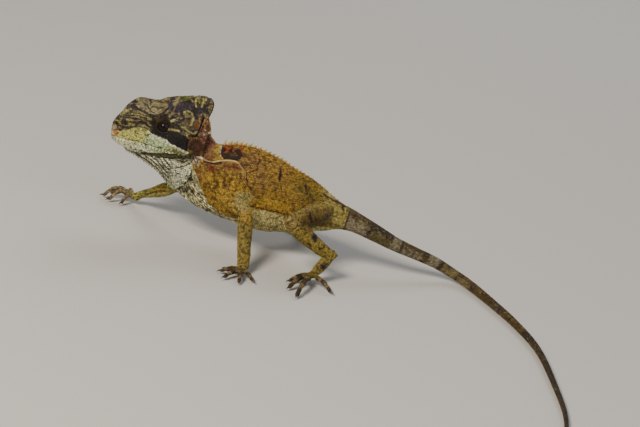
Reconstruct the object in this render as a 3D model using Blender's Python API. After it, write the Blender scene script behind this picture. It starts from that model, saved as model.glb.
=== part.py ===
"""A life-size helmeted basilisk, standing still and alert with its chest raised.

Metres, +Z up. The head points to -X and the animal's left side to -Y, and it stands on Z = 0.
Sizes below are in millimetres, in a working frame whose X = 0 lies under the middle of the belly.
They are those of an animal of 100 mm from snout to vent. ORIGIN moves them so that the model's own
origin is the middle of its base.
"""

import math
import random
from typing import NamedTuple

import bmesh
import bpy
import numpy as np
from mathutils import Matrix, Vector

MM = 0.001
GAP = 0.32  # between nodes that touch
ORIGIN = Vector((-28.96, 56.74, 0.0))
SINK = 1.3  # how deep a spine's root lies in what it grows from

# Materials: colour in linear RGB and roughness.
SKIN_OCHRE = ("ochre_scaled_skin", (0.26, 0.15, 0.035), 0.62)
SKIN_HELMET = ("dark_helmet_skin", (0.055, 0.045, 0.03), 0.55)
SKIN_PALE = ("pale_throat_skin", (0.34, 0.38, 0.24), 0.6)
SKIN_TAIL = ("banded_tail_skin", (0.17, 0.13, 0.08), 0.62)
EYE_DARK = ("dark_moist_eye", (0.01, 0.008, 0.012), 0.08)
EAR_BROWN = ("ear_membrane", (0.12, 0.07, 0.03), 0.5)


class Station(NamedTuple):
    """One cross-section of the trunk or tail: where its widest line runs, and how far it reaches."""

    x: float
    y: float
    z: float
    wide: float  # half the width
    rise: float  # from the widest line to the back
    drop: float  # from the widest line to the belly
    ridge: float  # 1 is a round back and 2 a sharp one
    keel: float  # the same for the underside


TRUNK = (
    Station(-39.0, 0.0, 37.0, 4.4, 6.0, 7.4, 1.2, 1.2),
    Station(-34.2, 0.0, 34.2, 5.6, 9.2, 14.6, 1.3, 1.1),
    Station(-28.2, 0.0, 31.0, 7.2, 11.4, 16.2, 1.5, 1.0),
    Station(-20.0, 0.0, 28.0, 8.6, 15.4, 16.6, 1.7, 0.95),
    Station(-11.0, 0.0, 25.6, 9.4, 17.9, 15.5, 1.75, 0.9),
    Station(-2.0, 0.0, 23.6, 9.8, 18.4, 15.1, 1.75, 0.85),
    Station(7.0, 0.0, 22.4, 9.4, 16.3, 12.6, 1.7, 0.85),
    Station(15.0, 0.0, 21.9, 8.4, 13.5, 10.4, 1.6, 0.9),
    Station(23.0, 0.0, 21.6, 7.0, 9.8, 8.0, 1.5, 0.95),
    Station(30.0, 0.0, 21.4, 5.4, 6.2, 5.4, 1.4, 1.0),
    Station(37.0, 0.4, 20.2, 4.3, 4.5, 4.1, 1.25, 1.0),
)
TAIL = (
    Station(46.0, 1.8, 17.0, 3.6, 3.7, 3.5, 1.15, 1.0),
    Station(55.5, 3.8, 13.2, 2.95, 3.0, 2.9, 1.1, 1.0),
    Station(65.0, 6.4, 10.0, 2.5, 2.6, 2.5, 1.1, 1.0),
    Station(74.0, 9.0, 6.9, 2.3, 2.4, 2.3, 1.1, 1.0),
    Station(82.5, 9.6, 3.5, 2.1, 2.1, 2.1, 1.1, 1.0),
    Station(90.3, 4.4, 1.95, 1.95, 2.0, 2.0, 1.1, 1.0),
    Station(99.0, -8.6, 1.68, 1.75, 1.8, 1.8, 1.1, 1.0),
    Station(109.6, -27.0, 1.52, 1.6, 1.62, 1.62, 1.1, 1.0),
    Station(118.6, -49.0, 1.35, 1.42, 1.45, 1.45, 1.1, 1.0),
    Station(124.8, -80.0, 1.12, 1.2, 1.22, 1.22, 1.1, 1.0),
    Station(128.6, -110.0, 0.92, 0.98, 1.0, 1.0, 1.1, 1.0),
    Station(126.0, -135.0, 0.7, 0.76, 0.78, 0.78, 1.1, 1.0),
    Station(115.0, -154.0, 0.45, 0.5, 0.52, 0.52, 1.1, 1.0),
    Station(105.0, -163.5, 0.28, 0.3, 0.3, 0.3, 1.1, 1.0),
)
SPINE = TRUNK + TAIL
NECK_END = 2.0  # station numbers, between which a node runs
TORSO_END = 9.15
TAIL_CUTS = (13.1, 17.4, 20.6)
TRUNK_RINGS, TRUNK_SIDES = 34, 32
TAIL_STEP, TAIL_SIDES = 0.24, 12


class HeadStation(NamedTuple):
    """One cross-section of the upper head, as (half width, height) from the lip to the crown."""

    x: float
    lip: tuple
    cheek: tuple
    hollow: tuple  # before, round and behind the eye
    brow: tuple  # the brow's outer edge, then the helmet's flank
    ridge: tuple  # the brow's top, then the edge of the helmet
    crown: float


HEAD = (
    HeadStation(-69.0, (1.2, 37.6), (1.3, 38.4), (1.3, 39.4), (1.1, 40.4), (0.6, 41.0), 41.2),
    HeadStation(-68.4, (2.7, 36.5), (3.0, 38.2), (2.9, 40.0), (2.4, 41.8), (1.4, 42.8), 42.9),
    HeadStation(-66.6, (4.1, 36.8), (4.4, 38.8), (4.1, 41.6), (3.3, 44.4), (2.1, 45.6), 45.4),
    HeadStation(-64.0, (5.3, 37.1), (5.6, 39.4), (5.1, 43.0), (4.3, 48.0), (2.9, 49.8), 49.0),
    HeadStation(-61.5, (6.1, 37.4), (6.4, 39.8), (5.8, 44.0), (5.0, 50.2), (3.5, 52.2), 51.0),
    HeadStation(-59.0, (6.8, 37.6), (7.1, 40.0), (6.3, 44.6), (5.9, 50.8), (4.0, 53.2), 51.8),
    HeadStation(-55.5, (7.4, 37.7), (7.7, 40.2), (6.8, 44.9), (7.0, 50.4), (4.4, 53.1), 52.0),
    HeadStation(-52.5, (7.9, 37.6), (8.2, 40.2), (7.1, 45.2), (7.6, 50.0), (4.5, 53.3), 52.2),
    HeadStation(-49.5, (8.2, 37.4), (8.5, 40.0), (7.2, 45.6), (7.8, 51.2), (4.4, 54.8), 53.2),
    HeadStation(-46.5, (8.5, 37.1), (8.8, 39.8), (7.9, 45.4), (6.8, 52.6), (3.6, 56.5), 55.2),
    HeadStation(-43.5, (8.6, 36.9), (8.9, 39.7), (8.6, 45.6), (5.5, 52.4), (2.5, 57.6), 57.0),
    HeadStation(-40.0, (8.4, 36.8), (8.8, 39.6), (8.9, 46.2), (4.2, 52.4), (1.6, 58.6), 58.7),
    HeadStation(-36.8, (7.9, 36.8), (8.3, 39.4), (8.5, 46.2), (3.1, 52.2), (1.0, 59.3), 59.7),
    HeadStation(-34.4, (7.3, 36.8), (7.6, 39.2), (7.3, 45.6), (2.2, 51.4), (0.8, 59.8), 60.2),
    HeadStation(-33.2, (6.9, 36.8), (7.3, 39.1), (6.3, 45.2), (1.8, 50.4), (0.7, 59.9), 60.3),
)
HEAD_HALF_POINTS = 13
EAR_BLOCK = (
    HeadStation(-33.4, (6.8, 36.9), (7.2, 39.2), (6.6, 44.8), (3.0, 46.4), (1.2, 46.8), 46.9),
    HeadStation(-31.4, (6.5, 36.9), (6.9, 39.2), (6.1, 44.4), (3.0, 46.0), (1.2, 46.4), 46.5),
    HeadStation(-29.6, (6.0, 37.1), (6.3, 39.2), (5.5, 43.4), (2.9, 44.9), (1.2, 45.3), 45.4),
)
TEMPLE_RIDGE = ((-44.6, 6.9, 49.8), (-40.2, 8.0, 48.3), (-36.4, 8.1, 46.7), (-33.9, 7.6, 46.5), (-31.9, 7.9, 46.9))
TEMPLE_THICK = (0.4, 0.75, 0.9, 0.75, 0.2)


class BladeStation(NamedTuple):
    """One cross-section of the helmet's overhang."""

    x: float
    low: float
    high: float
    wide: float


HELMET = (
    BladeStation(-36.0, 47.0, 59.4, 2.4),
    BladeStation(-33.4, 46.3, 60.3, 2.0),
    BladeStation(-31.8, 48.8, 60.4, 1.5),
    BladeStation(-30.3, 52.4, 59.7, 1.1),
    BladeStation(-29.6, 55.2, 58.2, 0.7),
)


class JawStation(NamedTuple):
    """One cross-section of the lower jaw or the throat below it."""

    x: float
    top: float
    bottom: float
    wide: float
    keel: float


JAW = (
    JawStation(-68.7, 36.9, 35.4, 1.2, 1.0),
    JawStation(-68.0, 37.6, 34.4, 2.9, 1.0),
    JawStation(-65.0, 38.6, 33.0, 4.8, 0.9),
    JawStation(-60.5, 39.4, 32.2, 6.4, 0.8),
    JawStation(-55.0, 39.6, 32.0, 7.4, 0.7),
    JawStation(-49.0, 39.4, 32.0, 8.1, 0.65),
    JawStation(-43.5, 39.0, 32.8, 8.3, 0.65),
    JawStation(-38.6, 38.4, 34.4, 7.9, 0.7),
    JawStation(-36.4, 38.0, 35.6, 7.2, 0.8),
)
THROAT = (
    JawStation(-62.5, 34.2, 31.4, 1.6, 1.4),
    JawStation(-58.5, 34.4, 30.0, 3.2, 1.7),
    JawStation(-53.0, 34.6, 27.6, 4.8, 1.8),
    JawStation(-47.0, 35.0, 24.4, 5.8, 1.7),
    JawStation(-41.8, 35.6, 19.9, 6.3, 1.35),
    JawStation(-38.0, 36.0, 18.6, 6.4, 1.1),
    JawStation(-35.2, 36.2, 20.0, 6.3, 1.0),
    JawStation(-33.4, 36.2, 23.8, 5.7, 1.0),
    JawStation(-32.4, 36.0, 28.4, 4.6, 1.0),
)
JAW_RINGS, THROAT_RINGS, JAW_SIDES = 15, 17, 18

NUCHAL_FIN = ((-34.4, 40.0), (-32.6, 46.0), (-30.6, 51.0), (-29.7, 49.8), (-28.9, 46.8), (-28.3, 44.0),
              (-26.2, 42.2), (-24.8, 39.0))
NUCHAL_THICK = 2.2
NUCHAL_SCALES, NUCHAL_SCALE_LONG = 6, 0.9

EYE_AT, EYE_RADIUS = (-48.3, 5.6, 46.8), 2.7
LID_RING, LID_THICK, LID_OUT = 2.4, 0.62, 1.8
EAR_AT, EAR_RADIUS, EAR_DEEP, EAR_THICK = (-33.4, 7.5, 41.1), 2.6, 1.1, 0.7
EAR_TURN = 14.0  # degrees that it faces backwards
LIP_THICK, LIP_UP = 0.5, 0.45
NOSTRIL_AT, NOSTRIL_RADIUS = (-67.2, 3.6, 42.2), 0.6

BACK_SPINES = 26
BACK_SPINE_FROM, BACK_SPINE_TO = 2.2, 8.7  # station numbers
BACK_SPINE_LEAN = 38.0  # degrees back from upright
THROAT_SPINES = 11


class Digit(NamedTuple):
    """One finger or toe: the heading that it leaves the palm by, how far it turns, and its size."""

    heading: float  # degrees, 0 towards +X and 90 towards +Y
    turn: float
    length: float
    thick: float


class Limb(NamedTuple):
    """One leg: its joints, how thick it is there, and its digits."""

    side: str
    root: tuple
    joint: tuple  # elbow or knee
    wrist: tuple  # wrist or ankle
    palm: tuple  # the knuckles' middle
    arch: float  # how high its digits arch
    thick: tuple  # at its root, upper part, elbow or knee, lower part, and wrist or ankle
    digits: tuple


FORE = (
    Limb("left", (-21.5, -4.0, 24.0), (-7.4, -18.0, 21.2), (-4.2, -28.4, 4.4), (-3.8, -31.4, 2.0), 0.9,
         (3.0, 3.5, 3.0, 3.0, 2.7),
         (Digit(186, -10, 6.6, 0.85), Digit(208, -8, 9.0, 0.9), Digit(238, -4, 11.2, 0.95),
          Digit(267, 4, 11.2, 0.95), Digit(302, 10, 8.2, 0.9))),
    Limb("right", (-22.5, 4.0, 24.0), (-39.4, 12.6, 15.2), (-54.0, 21.6, 4.8), (-57.2, 22.8, 2.6), 3.4,
         (3.0, 3.5, 2.8, 2.8, 1.7),
         (Digit(226, 14, 6.6, 0.85), Digit(200, 8, 10.4, 0.9), Digit(182, 2, 12.4, 0.95),
          Digit(160, -4, 10.6, 0.9), Digit(118, -12, 8.0, 0.85))),
)
HIND = (
    Limb("left", (25.0, -3.4, 24.4), (11.8, -21.6, 22.4), (29.8, -18.4, 10.6), (24.4, -24.2, 3.2), 1.2,
         (3.4, 4.6, 3.6, 3.6, 2.4),
         (Digit(182, 10, 6.4, 0.9), Digit(212, 6, 10.4, 0.95), Digit(236, 4, 15.4, 1.05),
          Digit(256, 3, 20.6, 1.1), Digit(312, 6, 12.0, 0.95))),
    Limb("right", (25.0, 3.4, 24.4), (4.4, 13.6, 21.6), (19.2, 23.4, 9.0), (15.6, 29.35, 2.3), 1.2,
         (3.4, 4.6, 3.6, 3.6, 2.4),
         (Digit(178, -10, 6.4, 0.9), Digit(154, -6, 10.4, 0.95), Digit(134, -4, 15.4, 1.05),
          Digit(115, -3, 20.6, 1.1), Digit(60, -6, 12.0, 0.95))),
)
CLAW_LONG = 2.0
LIMB_STEPS = 9
DIGIT_STEPS = 7
ARCH_LENGTH = 12.0  # a digit this long arches by its limb's full amount


def curve_through(values, at):
    """Reads a smooth curve through evenly numbered values at the given numbers."""
    values = np.asarray(values, float)
    at = np.clip(np.asarray(at, float), 0, len(values) - 1)
    low = np.minimum(at.astype(int), len(values) - 2)
    part = (at - low)[:, None]
    slopes = np.gradient(values, axis=0)
    a, b, da, db = values[low], values[low + 1], slopes[low], slopes[low + 1]
    square, cube = part**2, part**3
    return (
        (2 * cube - 3 * square + 1) * a
        + (cube - 2 * square + part) * da
        + (3 * square - 2 * cube) * b
        + (cube - square) * db
    )


def new_object(name, mesh):
    """Links a new object to the scene."""
    made = bpy.data.objects.new(name, mesh)
    bpy.context.scene.collection.objects.link(made)
    return made


def loft(name, rings):
    """A closed mesh through rings that have equally many points, with flat ends."""
    shape = bmesh.new()
    rows = [[shape.verts.new(Vector(point) * MM) for point in ring] for ring in rings]
    for near, far in zip(rows, rows[1:]):
        for i in range(len(near)):
            j = (i + 1) % len(near)
            shape.faces.new((near[i], near[j], far[j], far[i]))
    shape.faces.new(rows[0])
    shape.faces.new(rows[-1])
    bmesh.ops.recalc_face_normals(shape, faces=shape.faces)
    mesh = bpy.data.meshes.new(name)
    shape.to_mesh(mesh)
    shape.free()
    return new_object(name, mesh)


def spine_sections(numbers):
    """The trunk's or tail's centre, side and up directions, and sizes, at these station numbers."""
    values = curve_through(SPINE, numbers)
    ahead = curve_through(SPINE, np.asarray(numbers) + 0.02)[:, :3]
    behind = curve_through(SPINE, np.asarray(numbers) - 0.02)[:, :3]
    along = ahead - behind
    along /= np.linalg.norm(along, axis=1)[:, None]
    side = np.cross(along, (0.0, 0.0, 1.0))
    side /= np.linalg.norm(side, axis=1)[:, None]
    return values, along, side, np.cross(side, along)


def spine_loft(name, numbers, sides):
    """A length of the trunk or tail."""
    values, _, side, up = spine_sections(numbers)
    turn = np.arange(sides) * 2 * math.pi / sides
    rings = []
    for row, across, above in zip(values, side, up):
        _, _, _, wide, rise, drop, ridge, keel = row
        high = np.sin(turn) > 0
        out = np.sign(np.cos(turn)) * np.abs(np.cos(turn)) ** np.where(high, ridge, keel)
        lift = np.sin(turn) * np.where(high, rise, drop)
        rings.append(row[:3] + wide * out[:, None] * across + lift[:, None] * above)
    return loft(name, rings)


def head_outline(row):
    """The closed outline of one head section, through its named points on both sides."""
    lip, cheek, hollow, brow, ridge = np.asarray(row[:10]).reshape(5, 2)
    crown = (0.0, row[10])
    palate = (0.0, lip[1])
    corner = (lip[0] * 0.8, lip[1] - 0.05)
    valley = (ridge[0] * 0.5, 0.35 * ridge[1] + 0.65 * row[10])
    half = curve_through(
        [palate, corner, lip, cheek, hollow, brow, ridge, valley, crown], np.linspace(0, 8, HEAD_HALF_POINTS)
    )
    half[:, 0] = np.maximum(half[:, 0], 0.0)
    return np.concatenate([half, half[-2:0:-1] * (-1, 1)])


def head_loft(name, stations):
    """A length of the upper head, through its named sections and one between each two."""
    flat = [[h.x, *h.lip, *h.cheek, *h.hollow, *h.brow, *h.ridge, h.crown] for h in stations]
    rings = []
    for row in curve_through(flat, np.arange(0, len(stations) - 0.5, 0.5)):
        outline = head_outline(row[1:])
        rings.append(np.column_stack([np.full(len(outline), row[0]), outline]))
    return loft(name, rings)


def helmet_blade(name):
    """The thin rear end of the helmet, which overhangs the nape."""
    values = curve_through(HELMET, np.linspace(0, len(HELMET) - 1, 9))
    turn = np.arange(12) * math.pi / 6
    rings = []
    for x, low, high, wide in values:
        across = wide * np.cos(turn) * (1 - 0.45 * np.sin(turn))
        upright = (low + high) / 2 + (high - low) / 2 * np.sin(turn)
        rings.append(np.column_stack([np.full(12, x), across, upright]))
    return loft(name, rings)


def jaw_loft(name, stations, rings):
    """The lower jaw or the throat, flat on top and keeled below."""
    values = curve_through(stations, np.linspace(0, len(stations) - 1, rings))
    turn = np.arange(JAW_SIDES) * 2 * math.pi / JAW_SIDES
    outlines = []
    for x, top, bottom, wide, keel in values:
        high = np.sin(turn) > 0
        power = np.where(high, 0.55, keel)
        across = wide * np.sign(np.cos(turn)) * np.abs(np.cos(turn)) ** power
        waist = top - 0.35 * (top - bottom)
        upright = waist + np.sin(turn) * np.where(high, top - waist, waist - bottom)
        outlines.append(np.column_stack([np.full(JAW_SIDES, x), across, upright]))
    return loft(name, outlines)


def as_mesh(made):
    """Replaces a curve object by its closed, welded mesh."""
    graph = bpy.context.evaluated_depsgraph_get()
    mesh = bpy.data.meshes.new_from_object(made.evaluated_get(graph))
    shape = bmesh.new()
    shape.from_mesh(mesh)
    bmesh.ops.remove_doubles(shape, verts=shape.verts, dist=0.01 * MM)
    bmesh.ops.recalc_face_normals(shape, faces=shape.faces)
    shape.to_mesh(mesh)
    shape.free()
    new = new_object(made.name + "_mesh", mesh)
    new.matrix_world = made.matrix_world
    bpy.data.objects.remove(made)
    return new


def tube(name, points, thick, roundness=1):
    """A closed tube through points, as thick at each as the list says."""
    data = bpy.data.curves.new(name, "CURVE")
    data.dimensions = "3D"
    data.bevel_depth = MM
    data.bevel_resolution = roundness
    data.use_fill_caps = True
    line = data.splines.new("POLY")
    line.points.add(len(points) - 1)
    for knot, point, radius in zip(line.points, points, thick):
        knot.co = (*(Vector(point) * MM), 1.0)
        knot.radius = radius
    return as_mesh(new_object(name, data))


def spike(root, tip, radius, flatness=1.0):
    """A tapered four-sided spine from its sunk root to its tip, thinner sideways by flatness."""
    root, tip = Vector(root), Vector(tip)
    along = tip - root
    shape = bmesh.new()
    bmesh.ops.create_cone(shape, cap_ends=True, segments=4, radius1=radius * MM, radius2=0.06 * MM,
                          depth=along.length * MM)
    side = along.cross(Vector((0, 0, 1))) if abs(along.normalized().z) < 0.95 else Vector((0, 1, 0))
    side.normalize()
    edge = along.normalized().cross(side)
    turn = Matrix((side, edge, along.normalized())).transposed().to_4x4()
    shape.transform(Matrix.Translation((root + tip) / 2 * MM) @ turn @ Matrix.Diagonal((flatness, 1, 1, 1)))
    mesh = bpy.data.meshes.new("spike")
    shape.to_mesh(mesh)
    shape.free()
    return new_object("spike", mesh)


def combine(body, others, operation="UNION"):
    """Joins or cuts body with closed meshes in one Boolean, and keeps its largest closed surface."""
    group = bpy.data.collections.new("pieces")
    for other in others:
        group.objects.link(other)
    change = body.modifiers.new(operation.lower(), "BOOLEAN")
    change.operation = operation
    change.operand_type = "COLLECTION"
    change.collection = group
    change.solver = "MANIFOLD"
    graph = bpy.context.evaluated_depsgraph_get()
    mesh = bpy.data.meshes.new_from_object(body.evaluated_get(graph))
    body.modifiers.clear()
    body.data = mesh
    for other in others:
        bpy.data.objects.remove(other)
    bpy.data.collections.remove(group)
    keep_largest(mesh)
    return body


def keep_largest(mesh):
    """Drops every closed surface of a mesh but the one that holds the most."""
    shape = bmesh.new()
    shape.from_mesh(mesh)
    bmesh.ops.triangulate(shape, faces=shape.faces)
    shape.verts.ensure_lookup_table()
    waiting, groups = set(shape.faces), []
    while waiting:
        group, edge = set(), [waiting.pop()]
        while edge:
            face = edge.pop()
            group.add(face)
            for near in {f for e in face.edges for f in e.link_faces} & waiting:
                waiting.discard(near)
                edge.append(near)
        groups.append(group)
    volumes = [sum(f.verts[0].co.dot(f.verts[1].co.cross(f.verts[2].co)) for f in g) for g in groups]
    kept = groups[int(np.argmax(volumes))]
    bmesh.ops.delete(shape, geom=[f for f in shape.faces if f not in kept], context="FACES")
    shape.to_mesh(mesh)
    shape.free()


def grown(source, by=GAP):
    """A copy of an object, larger all round, to cut a neighbour clear of it."""
    shape = bmesh.new()
    shape.from_mesh(source.data)
    shape.normal_update()
    moves = [v.normal * by * MM * min(v.calc_shell_factor(), 1.6) for v in shape.verts]
    for vert, move in zip(shape.verts, moves):
        vert.co += move
    mesh = bpy.data.meshes.new("clearance")
    shape.to_mesh(mesh)
    shape.free()
    return new_object("clearance", mesh)


def ball(at, radius, segments=20):
    """A sphere."""
    shape = bmesh.new()
    bmesh.ops.create_uvsphere(shape, u_segments=segments, v_segments=segments * 5 // 8, radius=radius * MM,
                              matrix=Matrix.Translation(Vector(at) * MM))
    mesh = bpy.data.meshes.new("ball")
    shape.to_mesh(mesh)
    shape.free()
    return new_object("ball", mesh)


def ear_disc(side, inwards, radius, deep, segments=18):
    """A short cylinder set in one side of the head, facing out and a little backwards."""
    shape = bmesh.new()
    turn = Matrix.Rotation(math.radians(EAR_TURN) * -side, 4, "Z")
    at = Vector(np.multiply(EAR_AT, (1, side, 1))) + turn @ Vector((0, -side * inwards, 0))
    place = Matrix.Translation(at * MM) @ turn @ Matrix.Rotation(math.pi / 2, 4, "X")
    bmesh.ops.create_cone(shape, cap_ends=True, segments=segments, radius1=radius * MM, radius2=radius * MM,
                          depth=deep * MM, matrix=place)
    mesh = bpy.data.meshes.new("ear_disc")
    shape.to_mesh(mesh)
    shape.free()
    return new_object("ear_disc", mesh)


def eyelid(side):
    """The ring of lid round one eye."""
    bpy.ops.mesh.primitive_torus_add(
        major_segments=16, minor_segments=6, major_radius=LID_RING * MM, minor_radius=LID_THICK * MM
    )
    lid = bpy.context.object
    x, y, z = EYE_AT
    tilt = math.radians(90 - 10 * side)
    place = Matrix.Translation(Vector((x, side * (y + LID_OUT), z)) * MM) @ Matrix.Rotation(tilt, 4, "X")
    lid.data.transform(place @ Matrix.Diagonal((1.1, 0.9, 1.0, 1.0)))
    return lid


def below_floor():
    """A cutter for all that would lie under the ground."""
    shape = bmesh.new()
    size = Matrix.Diagonal((400 * MM, 400 * MM, 10 * MM, 1))
    bmesh.ops.create_cube(shape, size=1.0, matrix=Matrix.Translation((30 * MM, -60 * MM, -5 * MM)) @ size)
    mesh = bpy.data.meshes.new("below_floor")
    shape.to_mesh(mesh)
    shape.free()
    return new_object("below_floor", mesh)


def solid_head(name):
    """The upper head with its helmet and no hollows, which also cuts its neighbours."""
    return combine(head_loft(name, HEAD), [head_loft("ear_block", EAR_BLOCK), helmet_blade("blade")])


def make_head():
    """The upper head with its lids, ear hollows, nostrils and the ridges that end in the temple spines."""
    extras = []
    hollows = []
    for side in (-1, 1):
        sign = (1, side, 1)
        extras.append(eyelid(side))
        extras.append(tube("temple_ridge", np.multiply(TEMPLE_RIDGE, sign), TEMPLE_THICK))
        lip = [(h.x, side * (h.lip[0] - 0.1), h.lip[1] + LIP_UP) for h in HEAD[1:-2]]
        extras.append(tube("lip", lip, [LIP_THICK] * len(lip)))
        hollows.append(ball(np.multiply(EYE_AT, sign), EYE_RADIUS + GAP))
        hollows.append(ear_disc(side, 0.0, EAR_RADIUS + GAP, 2 * EAR_DEEP))
        hollows.append(ball(np.multiply(NOSTRIL_AT, sign), NOSTRIL_RADIUS, 10))
    return combine(combine(solid_head("head"), extras), hollows, "DIFFERENCE")


def back_point(number):
    """The top of the back at a station number, with the directions along and away from it."""
    values, _, _, up = spine_sections([number - 0.05, number, number + 0.05])
    before, at, after = values[:, :3] + values[:, 4:5] * up
    along = (after - before) / np.linalg.norm(after - before)
    return at, along, np.array([-along[2], 0.0, along[0]])


def back_spines():
    """The saw-toothed crest, long at the shoulder and fading towards the hips."""
    draw = random.Random(7)
    spines = []
    lean = math.radians(BACK_SPINE_LEAN)
    for i in range(BACK_SPINES):
        share = i / (BACK_SPINES - 1)
        number = BACK_SPINE_FROM + (BACK_SPINE_TO - BACK_SPINE_FROM) * share
        at, along, away = back_point(number)
        point = math.cos(lean) * away + math.sin(lean) * along
        tall = (2.9 if i == 0 else 1.7 - 0.9 * share) * draw.uniform(0.88, 1.12)
        spines.append(spike(at - SINK * point, at + tall * point, 1.15 - 0.3 * share, 0.55))
    return spines


def make_neck(cutters):
    """The neck with its fringed fin behind the helmet."""
    neck = spine_loft("neck", np.linspace(0.0, NECK_END - station_gap(NECK_END), 10), TRUNK_SIDES)
    fin_curve = bpy.data.curves.new("fin", "CURVE")
    fin_curve.dimensions = "2D"
    fin_curve.fill_mode = "BOTH"
    fin_curve.extrude = NUCHAL_THICK / 2 * MM
    line = fin_curve.splines.new("POLY")
    line.points.add(len(NUCHAL_FIN) - 1)
    for knot, (x, z) in zip(line.points, NUCHAL_FIN):
        knot.co = (x * MM, z * MM, 0.0, 1.0)
    line.use_cyclic_u = True
    fin = new_object("fin", fin_curve)
    fin.matrix_world = Matrix.Rotation(math.pi / 2, 4, "X")
    bpy.context.view_layer.update()
    fin = as_mesh(fin)
    fin.data.transform(fin.matrix_world)
    fin.matrix_world = Matrix.Identity(4)
    pieces = [fin]
    rear = np.array(NUCHAL_FIN[2:7])
    for x, z in curve_through(rear, np.linspace(0.35, 3.6, NUCHAL_SCALES)):
        pieces.append(spike((x - 1.0, 0, z - 0.5), (x + NUCHAL_SCALE_LONG, 0, z + 0.9), 1.0, 0.7))
    return combine(combine(neck, pieces), cutters, "DIFFERENCE")


def make_torso():
    """The trunk from the shoulders to the vent, with the crest."""
    torso = spine_loft("torso", np.linspace(NECK_END, TORSO_END, TRUNK_RINGS), TRUNK_SIDES)
    return combine(torso, back_spines())


def make_throat(cutters):
    """The throat pouch, with a row of pointed scales along its keel."""
    throat = jaw_loft("throat", THROAT, THROAT_RINGS)
    keel = curve_through(THROAT, np.linspace(0.3, 3.7, THROAT_SPINES))
    spines = []
    for x, _, bottom, _, _ in keel:
        spines.append(spike((x - 0.2, 0, bottom + SINK), (x + 0.7, 0, bottom - 0.9), 0.8, 0.75))
    return combine(combine(throat, spines), cutters, "DIFFERENCE")


def limb_tubes(limb, names):
    """The two long parts of one leg, as overlapping tubes."""
    thick = limb.thick
    root, joint, wrist = (np.array(p) for p in (limb.root, limb.joint, limb.wrist))
    share = np.linspace(0, 1, LIMB_STEPS)[:, None]
    hang = np.sin(share * math.pi) * (0.0, 0.0, -0.5)
    upper = root + (joint - root) * share + hang
    lower = joint + (wrist - joint) * share + hang
    swell = np.interp(share[:, 0], (0, 0.4, 1), thick[:3])
    calf = np.interp(share[:, 0], (0, 0.35, 1), thick[2:])
    round_end = upper[-1] + (upper[-1] - upper[-2]) * np.array([[0.22], [0.42]])
    upper = np.concatenate([upper, round_end])
    swell = np.concatenate([swell, [thick[2] * 0.85, thick[2] * 0.45]])
    calf[0] *= 0.8
    start = lower[0] - (lower[1] - lower[0]) * 0.3
    lower = np.concatenate([[start], lower])
    calf = np.concatenate([[thick[2] * 0.4], calf])
    return tube(names[0], upper, swell, 2), tube(names[1], lower, calf, 2)


def digit_tube(palm, arch, digit):
    """One finger or toe with its claw, as one tapering tube that rests on the ground."""
    share = np.linspace(0, 1, DIGIT_STEPS)
    heading = np.radians(digit.heading + digit.turn * share)
    step = digit.length / (DIGIT_STEPS - 1)
    flat = np.cumsum(np.column_stack([np.cos(heading), np.sin(heading)]) * step, axis=0)
    flat -= flat[0]
    rise = arch * digit.length / ARCH_LENGTH
    height = palm[2] + (0.85 - palm[2]) * share + rise * np.sin(share**1.4 * math.pi)
    points = np.column_stack([palm[0] + flat[:, 0], palm[1] + flat[:, 1], height])
    thick = digit.thick * (1.12 - 0.28 * share) * (1 + 0.07 * np.cos(share * 5 * math.pi))
    ahead = np.array([math.cos(heading[-1]), math.sin(heading[-1])])
    claw = [(0.3, 0.95, 0.56), (0.8, 1.0, 0.4), (1.5, 0.82, 0.29), (CLAW_LONG, 0.4, 0.16)]
    tips = [(*(points[-1, :2] + ahead * out), up) for out, up, _ in claw]
    return tube("digit", [*points, *tips], [*thick, *(c[2] for c in claw)], 1)


def make_foot(name, limb, cutters):
    """A hand or foot: the palm, its digits and their claws, flat where it stands."""
    wrist, palm = np.array(limb.wrist), np.array(limb.palm)
    share = np.linspace(-0.12, 1, 5)[:, None]
    sole = wrist + (palm - wrist) * share
    sole[:, 2] -= 0.5 * np.sin(np.clip(share[:, 0], 0, 1) * math.pi)
    body = tube(name, sole, np.interp(share[:, 0], (0, 0.75, 1), (limb.thick[4] * 0.98, 1.9, 1.5)), 2)
    spread = [digit_tube(palm, limb.arch, digit) for digit in limb.digits]
    body = combine(body, spread)
    return combine(body, [*cutters, below_floor()], "DIFFERENCE")


def make_limb(limb, names, neighbours):
    """The three nodes of one leg, each cut clear of what it grows from."""
    names = [f"{name}_{limb.side}" for name in names]
    upper, lower = limb_tubes(limb, names)
    upper_clear, lower_clear = grown(upper), grown(lower)
    upper = combine(upper, [grown(n) for n in neighbours], "DIFFERENCE")
    foot = make_foot(names[2], limb, [lower_clear])
    lower = combine(lower, [upper_clear], "DIFFERENCE")
    return upper, lower, foot


def tail_length(name, first, last):
    """One length of the tail, flat where it lies on the ground."""
    numbers = np.linspace(first, last, max(4, round((last - first) / TAIL_STEP)))
    return combine(spine_loft(name, numbers, TAIL_SIDES), [below_floor()], "DIFFERENCE")


def station_gap(number):
    """How much a station number grows over the gap between two nodes."""
    here, there = curve_through(SPINE, [number, number + 0.1])[:, :3]
    return 0.1 * GAP / np.linalg.norm(there - here)


def finish(node, name, look):
    """Names a node, gives it its material and moves it into the model's frame."""
    node.name = name
    node.data.name = name
    label, colour, roughness = look
    material = bpy.data.materials.get(label) or bpy.data.materials.new(label)
    material.use_nodes = True
    shader = material.node_tree.nodes["Principled BSDF"]
    shader.inputs["Base Color"].default_value = (*colour, 1.0)
    shader.inputs["Roughness"].default_value = roughness
    node.data.materials.clear()
    node.data.materials.append(material)
    node.data.transform(Matrix.Translation(ORIGIN * MM))
    node.data.shade_smooth()
    node.data.set_sharp_from_angle(angle=math.radians(40))
    return node


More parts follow.
